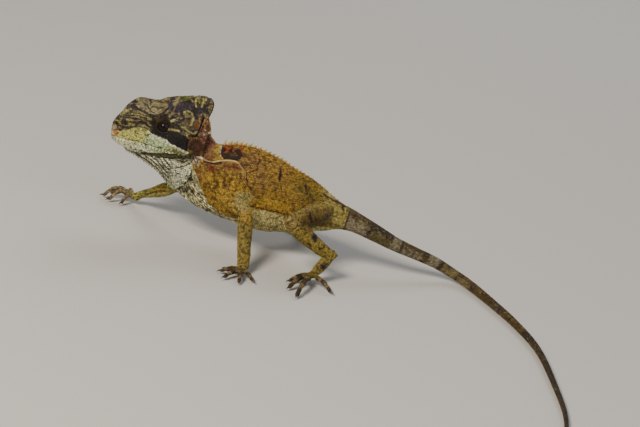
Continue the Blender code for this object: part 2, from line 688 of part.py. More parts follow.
def main():
    """Builds every node of the animal."""
    for old in list(bpy.data.objects):
        bpy.data.objects.remove(old)

    solid = solid_head("solid_head")
    nodes = [(make_head(), "head", SKIN_HELMET)]
    for side, word in ((-1, "left"), (1, "right")):
        sign = (1, side, 1)
        nodes.append((ball(np.multiply(EYE_AT, sign), EYE_RADIUS), f"eye_{word}", EYE_DARK))
        ear = ear_disc(side, EAR_DEEP - GAP - EAR_THICK / 2, EAR_RADIUS, EAR_THICK)
        nodes.append((ear, f"ear_{word}", EAR_BROWN))

    jaw = jaw_loft("lower_jaw", JAW, JAW_RINGS)
    jaw = combine(jaw, [grown(solid)], "DIFFERENCE")
    nodes.append((jaw, "lower_jaw", SKIN_PALE))
    throat = make_throat([grown(solid), grown(jaw)])
    neck = make_neck([grown(solid), grown(jaw), grown(throat)])
    torso = make_torso()
    nodes += [(throat, "throat", SKIN_PALE), (neck, "neck", SKIN_OCHRE), (torso, "torso", SKIN_OCHRE)]
    bpy.data.objects.remove(solid)

    ends = [TORSO_END, *TAIL_CUTS, len(SPINE) - 1]
    tails = []
    for name, first, last in zip(("tail_base", "tail_middle", "tail_rear", "tail_tip"), ends, ends[1:]):
        tails.append(tail_length(name, first + station_gap(first), last))
        nodes.append((tails[-1], name, SKIN_TAIL))

    for limb in FORE:
        made = make_limb(limb, ("upper_arm", "forearm", "hand"), [torso, neck])
        nodes += [(node, node.name.replace("_mesh", ""), SKIN_OCHRE) for node in made]
    for limb in HIND:
        made = make_limb(limb, ("thigh", "shank", "foot"), [torso, tails[0]])
        nodes += [(node, node.name.replace("_mesh", ""), SKIN_OCHRE) for node in made]

    group = bpy.data.collections.new("helmeted_basilisk")
    bpy.context.scene.collection.children.link(group)
    for node, name, look in nodes:
        finish(node, name, look)
        bpy.context.scene.collection.objects.unlink(node)
        group.objects.link(node)


main()
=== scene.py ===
"""Dresses a still, life-size helmeted basilisk in one skin, a coat of solid scales, eyes and claws.

Shapes are worked out in millimetres in the part's own working frame, whose X = 0 lies under the middle
of the belly, from the sizes that its solids were made from. `Frame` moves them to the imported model.
"""

from __future__ import annotations

import itertools
import logging
import math
from dataclasses import dataclass, field
from enum import Enum, IntEnum
from typing import Iterable, NamedTuple, Sequence

import bmesh
import bpy
import numpy as np
from mathutils import Matrix, Vector, kdtree
from mathutils.bvhtree import BVHTree

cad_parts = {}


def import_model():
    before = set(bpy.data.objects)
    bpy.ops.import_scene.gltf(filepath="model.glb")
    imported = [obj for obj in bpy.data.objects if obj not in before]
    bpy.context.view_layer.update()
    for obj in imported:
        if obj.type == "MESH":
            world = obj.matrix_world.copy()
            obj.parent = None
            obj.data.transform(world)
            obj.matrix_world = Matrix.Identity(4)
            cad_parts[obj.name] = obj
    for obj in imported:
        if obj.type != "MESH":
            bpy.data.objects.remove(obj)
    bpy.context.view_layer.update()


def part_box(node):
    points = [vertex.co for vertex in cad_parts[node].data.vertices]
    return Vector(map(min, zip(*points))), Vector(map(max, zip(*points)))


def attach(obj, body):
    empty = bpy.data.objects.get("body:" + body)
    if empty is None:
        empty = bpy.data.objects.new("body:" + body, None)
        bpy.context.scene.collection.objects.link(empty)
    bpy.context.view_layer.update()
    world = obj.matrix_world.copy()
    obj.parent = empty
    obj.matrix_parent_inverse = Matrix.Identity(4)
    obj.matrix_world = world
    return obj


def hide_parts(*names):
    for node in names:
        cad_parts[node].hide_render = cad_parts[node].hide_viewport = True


LOG = logging.getLogger("basilisk")
Array = np.ndarray
MM = 0.001
ROOT = "root"
SKIN_TRIANGLES = 186_000
VOXEL = 0.36
NECK_MELTS = (((-29.0, -5.4, 41.0), 4.4, 0.5), ((-29.0, 5.4, 41.0), 4.4, 0.5))
RING_STEP = 0.04  # how far apart the spine's rings are, in station numbers
COAT_DEPTH = 0.16  # how far the skin lies inside the solids
BAKE_PATCH = 0.003
BARE_EDGE = 0.1  # mm without scales beside a fold or a crease
THROAT_ROWS = 1.9  # mm between the dark lines along the throat
SNOUT_STREAKS = 1.7
SNOUT_SPOT = 9  # the orange spot's place among the marks of the head


class Tint(str, Enum):
    """The animal's colours, as sRGB hex values."""

    PLATE_BROWN = "#2d231a"
    PLATE_PURPLE = "#383036"
    STREAK = "#a69e60"
    STREAK_DULL = "#857b52"
    MOSS = "#4a5118"
    BROW_TAN = "#837957"
    SNOUT_OLIVE = "#80763f"
    SNOUT_PINK = "#a8978a"
    SNOUT_ORANGE = "#b3742f"
    LID_BROWN = "#1c1507"
    LID_AMBER = "#46380c"
    TEMPLE_DARK = "#1d1716"
    FLANK_BROWN = "#5c4f36"
    RUST = "#74451f"
    RUST_RED = "#641f10"
    # near black: dark specks on the lips, and painted shade in hollows, creases and gaps
    HOLLOW = "#140d08"
    LIP_YELLOW = "#b2ae62"
    LIP_MINT = "#b4c292"
    LIP_WHITE = "#d2d8b6"
    JAW_OLIVE = "#433d20"
    THROAT_WHITE = "#c8caaa"
    THROAT_BROWN = "#4c3d26"
    CHEST = "#c2be90"
    CHEST_OLIVE = "#625c34"
    EAR_BROWN = "#40260f"
    NAPE_PINK = "#7a543e"
    NECK_BROWN = "#75522c"
    NECK_YELLOW = "#96802f"
    FIN_RUST = "#936839"
    FIN_WHITE = "#cdbf9c"
    OCHRE = "#907024"
    BODY_TAN = "#8c6b32"
    BODY_GOLD = "#a4842b"
    BODY_BROWN = "#553810"
    CRACK = "#3c2208"
    FLANK_OLIVE = "#7a6620"
    HIP_PALE = "#9a8d4b"
    AXILLA = "#988c52"
    BELLY = "#b6aa6e"
    FOLD_WHITE = "#cdc0a2"
    FOLD_PALE = "#b99f62"
    FOLD_TAN = "#96754a"
    SADDLE_DARK = "#241006"
    SADDLE_FIRE = "#94500f"
    SADDLE_RED = "#5e1f0c"
    SADDLE_OLIVE = "#45421c"
    FLECK = "#1f0f07"
    LEG_OCHRE = "#877530"
    LEG_GREEN = "#968f46"
    LEG_TAN = "#8a7844"
    THIGH_BROWN = "#614c18"
    BRUISE = "#261724"
    TOE_BROWN = "#4a3920"
    TOE_PALE = "#a08f66"
    TAIL_GREY = "#81775c"
    TAIL_DARK = "#3a2f20"
    TAIL_OLIVE = "#5b5229"
    TAIL_OCHRE = "#6c5e38"
    TAIL_BROWN = "#54431f"
    CREST = "#bfa458"
    CREST_PALE = "#d2c28e"


Rows = tuple[tuple[float, ...], ...]
Layer = tuple["Array | Tint", Array]


def table(text: str) -> Rows:
    """Reads rows of numbers from a table."""
    return tuple(tuple(map(float, row.split())) for row in text.strip().splitlines())


def linear(tint: str) -> Array:
    """Turns an sRGB hex value into linear RGB.

    Args:
        tint: The colour as "#rrggbb".

    Returns:
        Three numbers from 0 to 1.
    """
    parts = np.array([int(tint[i : i + 2], 16) for i in (1, 3, 5)]) / 255
    return np.where(parts <= 0.04045, parts / 12.92, ((parts + 0.055) / 1.055) ** 2.4)


def curve_through(values: Sequence, at: Sequence) -> Array:
    """Reads a smooth curve through evenly numbered values.

    Args:
        values: Rows of numbers.
        at: Where to read, as fractional row numbers.

    Returns:
        One row for each place.
    """
    values = np.asarray(values, float)
    at = np.clip(np.asarray(at, float), 0, len(values) - 1)
    low = np.minimum(at.astype(int), len(values) - 2)
    part = (at - low)[:, None]
    slopes = np.gradient(values, axis=0)
    square, cube = part**2, part**3
    return (
        (2 * cube - 3 * square + 1) * values[low]
        + (cube - 2 * square + part) * slopes[low]
        + (3 * square - 2 * cube) * values[low + 1]
        + (cube - square) * slopes[low + 1]
    )


def unit(rows: Array) -> Array:
    """Scales each row to length one."""
    return rows / np.maximum(np.linalg.norm(rows, axis=-1, keepdims=True), 1e-9)


def ramp(low: float, high: float, value: Array) -> Array:
    """Rises softly from 0 at low to 1 at high."""
    part = np.clip((value - low) / (high - low), 0, 1)
    return part * part * (3 - 2 * part)


def layers(colour: Array | Tint, *coats: Layer) -> Array:
    """Lays coats of paint over a colour.

    Args:
        colour: A tint or rows of linear RGB.
        coats: Each a tint or rows, with how much of it covers each place.

    Returns:
        The new rows.
    """
    colour = linear(colour) if isinstance(colour, Tint) else colour
    for tint, cover in coats:
        over = linear(tint) if isinstance(tint, Tint) else tint
        colour = colour + (over - colour) * cover[:, None]
    return colour


def cloud(points: Array, size: float, seed: int) -> Array:
    """Soft noise from 0 to 1 over space.

    Args:
        points: Places in mm.
        size: The width of one lump in mm.
        seed: Which noise.

    Returns:
        One number for each place.
    """
    scaled = points / size
    cell = np.floor(scaled).astype(np.int64)
    part = scaled - cell
    part = part * part * (3 - 2 * part)
    total = np.zeros(len(points))
    for corner in itertools.product((0, 1), repeat=3):
        weight = np.prod(np.where(corner, part, 1 - part), axis=1)
        keys = (cell + corner) * (73856093, 19349663, 83492791)
        mixed = keys[:, 0] ^ keys[:, 1] ^ keys[:, 2] ^ (seed * 7919)
        mixed = (mixed ^ (mixed >> 13)) * 1274126177
        mixed = (mixed ^ (mixed >> 16)) * 668265263
        total += weight * ((mixed ^ (mixed >> 15)) & 0xFFFFFF) / 0xFFFFFF
    return total


class Blotch(NamedTuple):
    """An oval mark, seen from the side: its middle, half length and half height, and its slope."""

    at: tuple[float, float]
    reach: tuple[float, float]
    turn: float
    tint: Tint
    soft: float = 0.0

    def cover(self, places: Array) -> Array:
        """How much of the mark covers each (x, z) place, from 0 to 1.

        Args:
            places: (x, z) places in mm.

        Returns:
            A number from 0 to 1 for each.
        """
        angle = math.radians(self.turn)
        away = places - self.at
        along = away[:, 0] * math.cos(angle) + away[:, 1] * math.sin(angle)
        across = away[:, 1] * math.cos(angle) - away[:, 0] * math.sin(angle)
        far = np.hypot(along / self.reach[0], across / self.reach[1])
        edge = min(0.5, 0.3 / min(self.reach)) + self.soft
        return ramp(1 + edge, max(1 - edge, 0.0), far)


class Stroke(NamedTuple):
    """A line mark or fold, seen from the side, that may stand out of the skin or lie in it."""

    points: tuple[tuple[float, float], ...]
    half: float
    tint: Tint
    rise: float = 0.0

    def distance(self, places: Array) -> Array:
        """How far each (x, z) place lies from the line.

        Args:
            places: (x, z) places in mm.

        Returns:
            A distance in mm for each.
        """
        best = np.full(len(places), 1e6)
        for start, end in zip(np.array(self.points), np.array(self.points[1:])):
            run = end - start
            share = np.clip((places - start) @ run / max(run @ run, 1e-9), 0, 1)
            best = np.minimum(best, np.linalg.norm(places - start - share[:, None] * run, axis=1))
        return best

    def cover(self, places: Array) -> Array:
        """How much of the line covers each place, from 0 to 1."""
        return ramp(self.half * 1.5, self.half * 0.6, self.distance(places))


def marks(text: str) -> tuple[Blotch | Stroke, ...]:
    """Reads a table of marks.

    Args:
        text: A row for each: "spot" with its tint, middle, reach, turn and softness, or "line" with its
            tint, points, half width and rise, where the last number may be left out.

    Returns:
        The marks, in the order in which they are laid.
    """
    made = []
    for kind, tint, *words in (row.split() for row in text.strip().splitlines()):
        pairs = tuple(tuple(map(float, word.split(","))) for word in words if "," in word)
        first, *rest = (float(word) for word in words if "," not in word)
        if kind == "spot":
            made.append(Blotch(*pairs, first, Tint[tint], *rest))
        else:
            made.append(Stroke(pairs, first, Tint[tint], *rest))
    return tuple(made)


def laid(given: Iterable[Blotch | Stroke], places: Array) -> list[Layer]:
    """The coats of paint that marks lay over (x, z) places."""
    return [(mark.tint, mark.cover(places)) for mark in given]


def relief(given: Iterable[Blotch | Stroke], places: Array) -> Array:
    """How far the strokes among some marks stand out of the skin at (x, z) places, in mm."""
    strokes = [mark for mark in given if isinstance(mark, Stroke) and mark.rise]
    return sum(s.rise * np.exp(-((s.distance(places) / s.half) ** 2)) for s in strokes)


# Marks of the head. The near-black line under the eye is painted shade under the lower lid, and the
# near-black line along the helmet's lower rear edge is painted shadow under the ridge over the ear.
HEAD_MARKS = marks("""
spot BROW_TAN -55,52.6 9,2.7 12
spot BROW_TAN -60,52.2 3.4,1.9 27
spot MOSS -58.6,55.1 2.6,0.9 14
spot PLATE_PURPLE -62.8,50.9 1.6,1.2 51
spot PLATE_PURPLE -60.3,51 1.4,1 0
spot SNOUT_OLIVE -67,43.2 2.1,1.4 23
spot PLATE_BROWN -63.4,43.5 1.4,1.7 9
spot SNOUT_OLIVE -61.3,45 2.1,1.3 -3
spot SNOUT_PINK -67.9,40.3 1.2,0.9 25
spot SNOUT_ORANGE -66.7,38.9 1.2,1 22
spot LID_BROWN -48.6,46.3 4.9,4.3 2 0.15
spot LID_AMBER -50.6,49 2.2,0.9 18 0.2
line HOLLOW -51.6,43.3 -49,42.7 -46.2,43.2 0.5
spot TEMPLE_DARK -41.1,42.4 4.5,3.7 -9
spot TEMPLE_DARK -38.7,40.5 2.3,2.5 10
spot MOSS -42,58.2 3.9,0.9 12
spot BROW_TAN -45.3,56.9 1.4,1.7 -9
spot PLATE_PURPLE -39.8,56 2.5,1.5 2
spot PLATE_PURPLE -42.7,54.7 1.6,1.3 5
spot PLATE_PURPLE -33.4,55 1.8,1.3 10
spot PLATE_PURPLE -35.8,52.8 0.7,2.7 2
spot MOSS -35.4,58.5 2.4,1.6 10
spot STREAK_DULL -39.4,52.5 1.2,0.9 -20 0.3
spot FLANK_BROWN -37.7,49.1 2.7,2 -21
spot STREAK_DULL -33,52.7 1.8,0.9 29
spot RUST -34.3,49.5 1,2.1 -11
spot STREAK_DULL -30.5,57.7 0.6,2 3
spot PLATE_PURPLE -34.8,47.1 1.6,0.5 -12
line PLATE_BROWN -61.9,51.7 -58.5,50.9 -55.5,50.7 -52.7,49.8 -50.8,50.7 -48.2,52.6 -46.4,55.6 0.42 -0.2
line PLATE_BROWN -56.2,53.6 -55.6,52.6 -54.4,52 -52.7,51.2 0.2 -0.3
line LID_AMBER -54.1,52.8 -52.2,53.2 -49.7,53.9 -48.1,55.1 0.17 -0.25
line FLANK_BROWN -60.8,53.2 -58.7,53.9 -56.9,53.4 0.15 -0.15
line FLANK_BROWN -59,52.3 -57.2,51.8 -55.8,52 0.15 -0.15
spot PLATE_PURPLE -46.6,55.3 1,2 20
line STREAK -65.2,48.2 -62.4,50.2 0.33
line STREAK -66.6,45.9 -64.2,48.2 -60.8,49.2 -58.1,49 -57,49.7 0.42
line PLATE_PURPLE -68.4,44.2 -65.4,45.7 -62,46.7 -58.7,47.5 0.5
line STREAK_DULL -59.7,48.2 -56.3,48.4 -53.3,48.6 0.5
line PLATE_BROWN -60.1,45.6 -56.3,46.2 -52.7,45.1 0.67
line STREAK_DULL -58.1,46.6 -55.2,47.1 -52.9,46.3 0.22
line PLATE_BROWN -60.5,43.5 -58.8,43.6 0.42
line STREAK -45.3,46.2 -43.2,46.4 -41.1,46.6 0.33
line STREAK -45.2,49.7 -42.9,50.4 0.38
line STREAK_DULL -45.9,51.2 -44.7,53 0.33
line STREAK_DULL -44.5,52.3 -42.7,51.4 -41,51 0.25
line STREAK -41.3,49.2 -39.5,48.3 0.27
line STREAK_DULL -43.2,53.2 -41.6,51.9 0.25
line PLATE_BROWN -44.9,48.5 -40.7,48.9 0.29
line STREAK -39.5,48.3 -37.8,47.3 -35.6,46.6 -32.9,46.9 0.32
line STREAK_DULL -37.7,46.3 -37.4,44.7 -36.4,43.7 0.29
line HOLLOW -36.4,44.9 -34.7,45.1 -32.3,45.1 0.38 -0.35
line STREAK -40.8,53.2 -39.3,53.8 -37.4,52.9 -36.6,51.3 -37,49.5 0.36 0.15
line STREAK -37.5,59.3 -36.4,55.8 0.3
line STREAK -34.5,60.2 -34,58.7 -34.3,56.2 0.3
line STREAK_DULL -36.2,59.8 -35.5,57.6 0.29
line STREAK -33.3,60.1 -32.9,58.5 0.29
line STREAK_DULL -34.3,51.4 -33.5,49.4 -33.7,47 0.25
line STREAK_DULL -46.9,58 -44.1,58.4 -39.7,59.6 -33,60.2 0.38
""")
LIP_TOP = (
    (-68.8, 39.0), (-66.0, 39.8), (-63.2, 41.4), (-60.3, 42.5), (-57.6, 44.1), (-55.5, 44.0), (-53.2, 43.2),
    (-49.5, 41.8), (-46.0, 41.4), (-42.8, 40.2), (-39.3, 38.8), (-36.3, 38.1),
)
FIN_EDGE = ((-33.8, 45.2), (-32.3, 51.9), (-31.0, 53.5))
# A groove along the gap between the helmet and the fin, with painted shade in it.
FIN_GAP_SHADE = Stroke(FIN_EDGE[:2], 0.3, Tint.HOLLOW, -0.5)
LIP_EDGE = Stroke(LIP_TOP[6:], 0.55, Tint.LIP_WHITE, 0.15)
# The first line is painted shadow under the jaw's edge, sunk as a shallow groove; the thinner ones are pale
# and dark stripes at the rear of the lips.
JAW_SHADOW_AND_LINES = marks("""
line JAW_OLIVE -54.5,32.6 -51,33.4 -47,34.5 -43,35.6 -39.5,36 -37.3,35.2 0.62 -0.2
line JAW_OLIVE -46,37.2 -42.5,38 -39.1,37.5 -36.6,37.3 0.24
line LIP_WHITE -45,36.2 -42,36.9 -38.5,36.6 0.2
line JAW_OLIVE -46.5,38.5 -43.5,38.9 -40,38.2 -37.6,37.3 0.13
""")
# A groove along the rear of the throat pouch, with painted shade along it.
(SHADED_CREASE,) = marks("line HOLLOW -33.1,30 -33,28 -33.5,25.6 -35,22.8 -36.6,20.6 -38.8,18.8 0.2 -0.6")
# Marks of the neck and ear. The last, a near-black groove in front of the ear, is painted shade.
NECK_MARKS = marks("""
spot EAR_BROWN -32.9,40.6 3.4,3.7 -3 0.25
spot NAPE_PINK -29.9,44.5 4,1.9 -65 0.3
spot NAPE_PINK -27.6,41 1.8,1.6 0 0.4
spot NECK_BROWN -28.4,38.2 2.5,1 1 0.3
spot NECK_YELLOW -23.9,40.3 1.1,3.2 6 0.3
spot MOSS -34.9,37.8 0.8,1 8 0.3
spot FIN_RUST -30.7,48.6 1.6,3.6 28 0.2
line HOLLOW -36.9,43.9 -36.8,40.8 -36.5,37.6 0.36 -0.4
""")
FOLDS = marks("""
line FOLD_WHITE -32.4,36.4 -31,36.4 -29.2,35.9 0.5 0.4
line FOLD_TAN -30.2,36.1 -27.7,35.6 -25,35.7 0.3 0.4
line FOLD_PALE -25.8,35.6 -24.2,36 -22.1,36.8 -19,37.4 -16.1,37.6 -14.3,37.1 0.33 0.4
line BODY_BROWN -28.7,34.9 -26.2,34.8 -23.8,35.2 -21.5,35.9 0.26 -0.35
line FOLD_TAN -14.6,37.2 -12.6,35.6 -11.3,34.2 -10.6,32.2 0.22 0.3
""")
BODY_PATCHES = marks("""
spot BODY_TAN -10.9,38.5 5.2,4.2 -7 0.4
spot FLANK_OLIVE 17,30.5 8.5,4 -21 0.4
spot BODY_GOLD -21.5,28.6 5.4,5 14 0.4
spot BODY_GOLD -14.5,25.5 6.5,5 14 0.4
spot BODY_TAN -29.2,30.2 1.7,4.4 30 0.4
spot BODY_GOLD 2,24 8,2.4 -3 0.5
""")
# Marks of the body. The gold spot low on the front of the belly at -17.4, 18.4 is that place's ochre laid
# pale enough to be painted light, lifting the shade where the body curves under; the three short near-black
# lines at the front end of the white fold are painted shade.
BODY_MARKS = marks("""
spot RUST -26.6,36.9 1,0.4 0 0.3
spot RUST_RED -25.3,33.3 1.5,1 -16 0.35
spot RUST_RED -24.2,31.9 0.7,0.5 -16 0.35
spot RUST_RED -19.8,35 1,0.6 6 0.35
spot RUST_RED -15.6,35.4 1.2,0.7 -10 0.35
spot RUST -17.6,35.9 3.6,0.5 6 0.3
spot BODY_BROWN -21.7,27.6 0.6,2.6 15 0.3
spot BODY_BROWN -18.9,28.5 0.8,2.9 9 0.3
spot BODY_BROWN -16.6,30.2 0.6,1.6 -30 0.3
spot BODY_BROWN -20.6,31.2 1.6,0.4 -40 0.2
spot FLECK 2.8,36.3 0.6,2.2 13
spot FLECK 3.3,34.3 0.35,1 7
spot FLECK 14.4,32.4 0.42,1.3 12
spot FLECK 15.3,30.6 0.34,0.9 14
line FOLD_WHITE -23.4,42 -23.2,39.8 -22.4,38 0.24
line CRACK -10.9,34.3 -9.9,31.7 -9.4,30.2 -7.4,28.6 0.22 -0.15
line CRACK -9.7,34.5 -8.6,35.1 -6.8,36.1 -6.6,38 -6.9,40.4 0.22 -0.15
line CRACK -6.8,34.3 -6.6,32 -6.5,29.6 0.17
line CRACK -2.2,30 -1.8,28.1 0.17
line CRACK 1,28.6 2.1,30.2 0.17
line BODY_BROWN 3.4,33.7 4.6,31.2 5.2,27.9 0.2 -0.1
spot FOLD_WHITE -32.6,34.7 2.2,1.3 -35 0.3
line HOLLOW -35,35.4 -33.2,33.4 0.26
line HOLLOW -33.6,35.7 -32,33.9 0.24
line HOLLOW -32.2,35.7 -30.8,34.2 0.22
spot BODY_GOLD -17.4,18.4 5.6,2.4 -25 0.5
line CRACK -24.5,24.8 -21.9,23.4 -18.6,22.4 -15.6,21.2 0.2 -0.2
line CRACK -22.6,21.4 -20,19.9 -16.9,18.6 0.18 -0.2
line CRACK -21.7,23.9 -20.9,21.2 0.18
line BODY_BROWN 11.9,36 13.1,34 16.4,28.2 16.8,26.4 0.15
line TAIL_DARK 22,30.6 26,28.9 31,26.9 37,24.6 0.28 -0.15
line FOLD_PALE 24,30.6 29,28.5 37,25.5 0.2
line TAIL_DARK 30.6,26.6 32.2,24.6 33.6,21.6 34,19.4 0.3 -0.3
""")
(AXILLA_PATCH,) = marks("spot AXILLA -9.6,24.4 3.8,2.5 8 0.45")
CHEST_EDGE = (
    (-36.0, 36.0), (-34.5, 33.3), (-32.4, 31.3), (-30.9, 28.2), (-29.0, 25.2), (-26.7, 21.7), (-24.0, 18.1),
    (-20.6, 15.6), (-16.5, 13.6), (-11.3, 13.2), (-9.0, 19.6), (-4.4, 20.6), (3.9, 20.4), (10.0, 19.6),
    (20.0, 18.2), (34.0, 16.5),
)
# A groove with painted shadow under the pale fold that runs back from the armpit.
(FLANK_FOLD_SHADOW,) = marks("line BODY_BROWN -9.5,20.6 -4.4,21.2 -0.3,21.3 3.9,21.1 7.4,20.8 11,20.4 0.17 -0.35")
# Folds of the throat pouch. The two short near-black lines are painted shade in them.
POUCH_FOLDS = marks("""
line HOLLOW -39.3,27.5 -37.6,27.9 0.3
line HOLLOW -35.3,26.5 -34.7,27.5 0.3
line JAW_OLIVE -33.5,33.6 -36,33.4 -40,32.6 0.25 -0.25
line JAW_OLIVE -40,29.6 -37.3,30.7 -34.3,32.7 0.25 -0.25
""")
LEG_MARKS = marks("""
spot THIGH_BROWN 20.4,23.6 6.2,3.3 -6 0.45
spot FLANK_BROWN 24.8,22.4 1.3,3 -8 0.5
spot LEG_TAN 12,22.6 2.6,2.4 0 0.4
spot BRUISE 22,18.4 1.5,0.9 -35 0.15
spot BRUISE 22.6,17.4 0.6,0.9 10 0.15
spot BRUISE 28,7 1.3,1.1 0 0.3
line FLECK 18.2,26.3 19,24.6 19.8,22.9 0.34
line CRACK 10.3,20.2 12.8,20.9 14.2,22 14.2,23.4 0.22 -0.2
line CRACK 26.9,15.6 26.4,14.4 25,13.6 0.26 -0.2
""")
ARM_MARKS = marks("""
line BODY_BROWN -5.9,20.6 -6.4,18.6 -7.2,17 0.25 -0.2
line BODY_BROWN -11.4,21.4 -9.2,19.6 0.22 -0.15
spot NECK_YELLOW -45.5,12.6 4.2,1.3 35 0.4
line CRACK -51,7 -47,10.6 -43.5,12.2 0.22
line FOLD_PALE -50.6,6.2 -46.6,9.6 -43,11.2 0.22
""")
# the station number at which each stretch of the tail starts, and the tints of its sides and its top
TAIL_BANDS = [(float(start), Tint[side], Tint[top]) for start, side, top in map(str.split, """
8.6 HIP_PALE FLANK_OLIVE
9.42 TAIL_DARK TAIL_DARK
9.55 TAIL_GREY TAIL_BROWN
10.62 TAIL_DARK TAIL_DARK
10.72 TAIL_OLIVE TAIL_DARK
11.75 TAIL_GREY TAIL_GREY
12.2 TAIL_DARK TAIL_DARK
12.3 TAIL_GREY TAIL_BROWN
13.2 TAIL_BROWN TAIL_DARK
13.5 TAIL_GREY TAIL_GREY
14.12 TAIL_DARK TAIL_DARK
14.28 TAIL_OCHRE TAIL_OLIVE
15.22 TAIL_DARK TAIL_DARK
15.32 TAIL_OCHRE TAIL_BROWN
16.1 TAIL_DARK TAIL_DARK
16.22 TAIL_BROWN TAIL_BROWN
17.3 TAIL_DARK TAIL_DARK
17.5 TAIL_BROWN TAIL_BROWN
18.4 TAIL_DARK TAIL_DARK
18.7 TAIL_BROWN TAIL_DARK
19.7 TAIL_DARK TAIL_DARK
20 TAIL_BROWN TAIL_DARK
20.9 TAIL_DARK TAIL_DARK
21.3 TAIL_BROWN TAIL_BROWN
""".strip().splitlines())]


class Part(IntEnum):
    """The parts of the body that are painted each in its own way."""

    HEAD = 0
    JAW = 1
    THROAT = 2
    TRUNK = 3
    TAIL = 4
    ARM = 5
    LEG = 6
    FOOT = 7
    FIN = 8
    CREST = 9


@dataclass
class Roots:
    """Where scales grow: their places, lie, widths, and where each stands on its part's unwrap."""

    at: Array
    along: Array
    wide: Array
    share: Array  # along the part and round it, from 0 to 1
    part: Array
    station: Array  # the spine's station number, on trunk and tail
    out: Array = field(default_factory=lambda: np.zeros((0, 3)))

    @staticmethod
    def joined(groups: Sequence[Roots], strips: bool = True) -> Roots:
        """Joins groups of roots.

        Args:
            groups: The groups.
            strips: Gives each group its own strip of the unwrap.

        Returns:
            One group.
        """
        columns = {key: [vars(group)[key] for group in groups] for key in vars(groups[0])}
        if strips:
            high = 0.94 / len(groups)
            starts = (np.arange(len(groups)) + 0.03) / len(groups)
            columns["share"] = [rows * (1, high) + (0, low) for rows, low in zip(columns["share"], starts)]
        return Roots(**{key: np.concatenate(values) for key, values in columns.items()})

    def where(self, keep: Array) -> Roots:
        """The roots that a mask or a list of indices picks."""
        return Roots(**{key: rows[keep] if len(rows) else rows for key, rows in vars(self).items()})


@dataclass
class Form:
    """A length of the body, as rings of points from which its flesh and its rows of scales are made."""

    part: Part
    rings: Array
    stations: Array | None = None

    def faces(self, start: int) -> tuple[Array, list[tuple[int, ...]]]:
        """The closed surface through the rings.

        Args:
            start: The number of the first point.

        Returns:
            The points and the faces.
        """
        count, sides = self.rings.shape[:2]
        numbers = np.arange(count * sides).reshape(count, sides) + start
        turned = np.roll(numbers, -1, axis=1)
        quads = np.stack([numbers[:-1], turned[:-1], turned[1:], numbers[1:]], axis=-1).reshape(-1, 4)
        caps = (numbers[0], numbers[-1])
        return self.rings.reshape(-1, 3), [tuple(face.tolist()) for face in (*quads, *caps)]

    def rows(self, wide: Rows | float, aspect: float, seed: int, shake: float = 0.08) -> Roots:
        """Lays staggered rows of scales over the rings.

        Args:
            wide: A scale's width in mm, or shares along the form and the widths there.
            aspect: The distance between rows, in widths.
            seed: Which draw of small shifts.
            shake: How far a scale shifts, in widths.

        Returns:
            The scales' roots.
        """
        draw = np.random.default_rng(seed)
        steps = np.linalg.norm(np.diff(self.rings, axis=0), axis=2).mean(axis=1)
        length = np.concatenate([[0], np.cumsum(steps)])
        found = []
        here, count, odd = 0.0, 0, False
        while here < length[-1]:
            share = here / length[-1]
            width = wide if isinstance(wide, float) else np.interp(share, *wide)
            number = np.interp(here, length, np.arange(len(length)))
            low = min(int(number), len(length) - 2)
            lie = self.rings[low + 1] - self.rings[low]
            ring = self.rings[low] + lie * (number - low)
            closed, lies = (np.concatenate([rows, rows[:1]]) for rows in (ring, lie))
            girth = np.concatenate([[0], np.cumsum(np.linalg.norm(np.diff(closed, axis=0), axis=1))])
            wanted = max(girth[-1] / width, 4)
            if abs(count - wanted) > 0.07 * wanted:
                count = int(round(wanted))
            turn = (np.arange(count) + 0.5 * odd + draw.uniform(-shake, shake, count)) / count % 1.0
            at, along = (
                np.column_stack([np.interp(turn * girth[-1], girth, rows[:, k]) for k in range(3)])
                for rows in (closed, lies)
            )
            at += unit(along) * draw.uniform(-shake, shake, count)[:, None] * width
            station = 0.0 if self.stations is None else np.interp(number, range(len(length)), self.stations)
            shares = np.column_stack([np.full(count, share), turn]) * 0.98 + 0.01
            found.append((at, unit(along), np.full(count, girth[-1] / count), shares,
                          np.full(count, self.part), np.full(count, station)))
            here += width * aspect
            odd = not odd
        return Roots(*map(np.concatenate, zip(*found)))


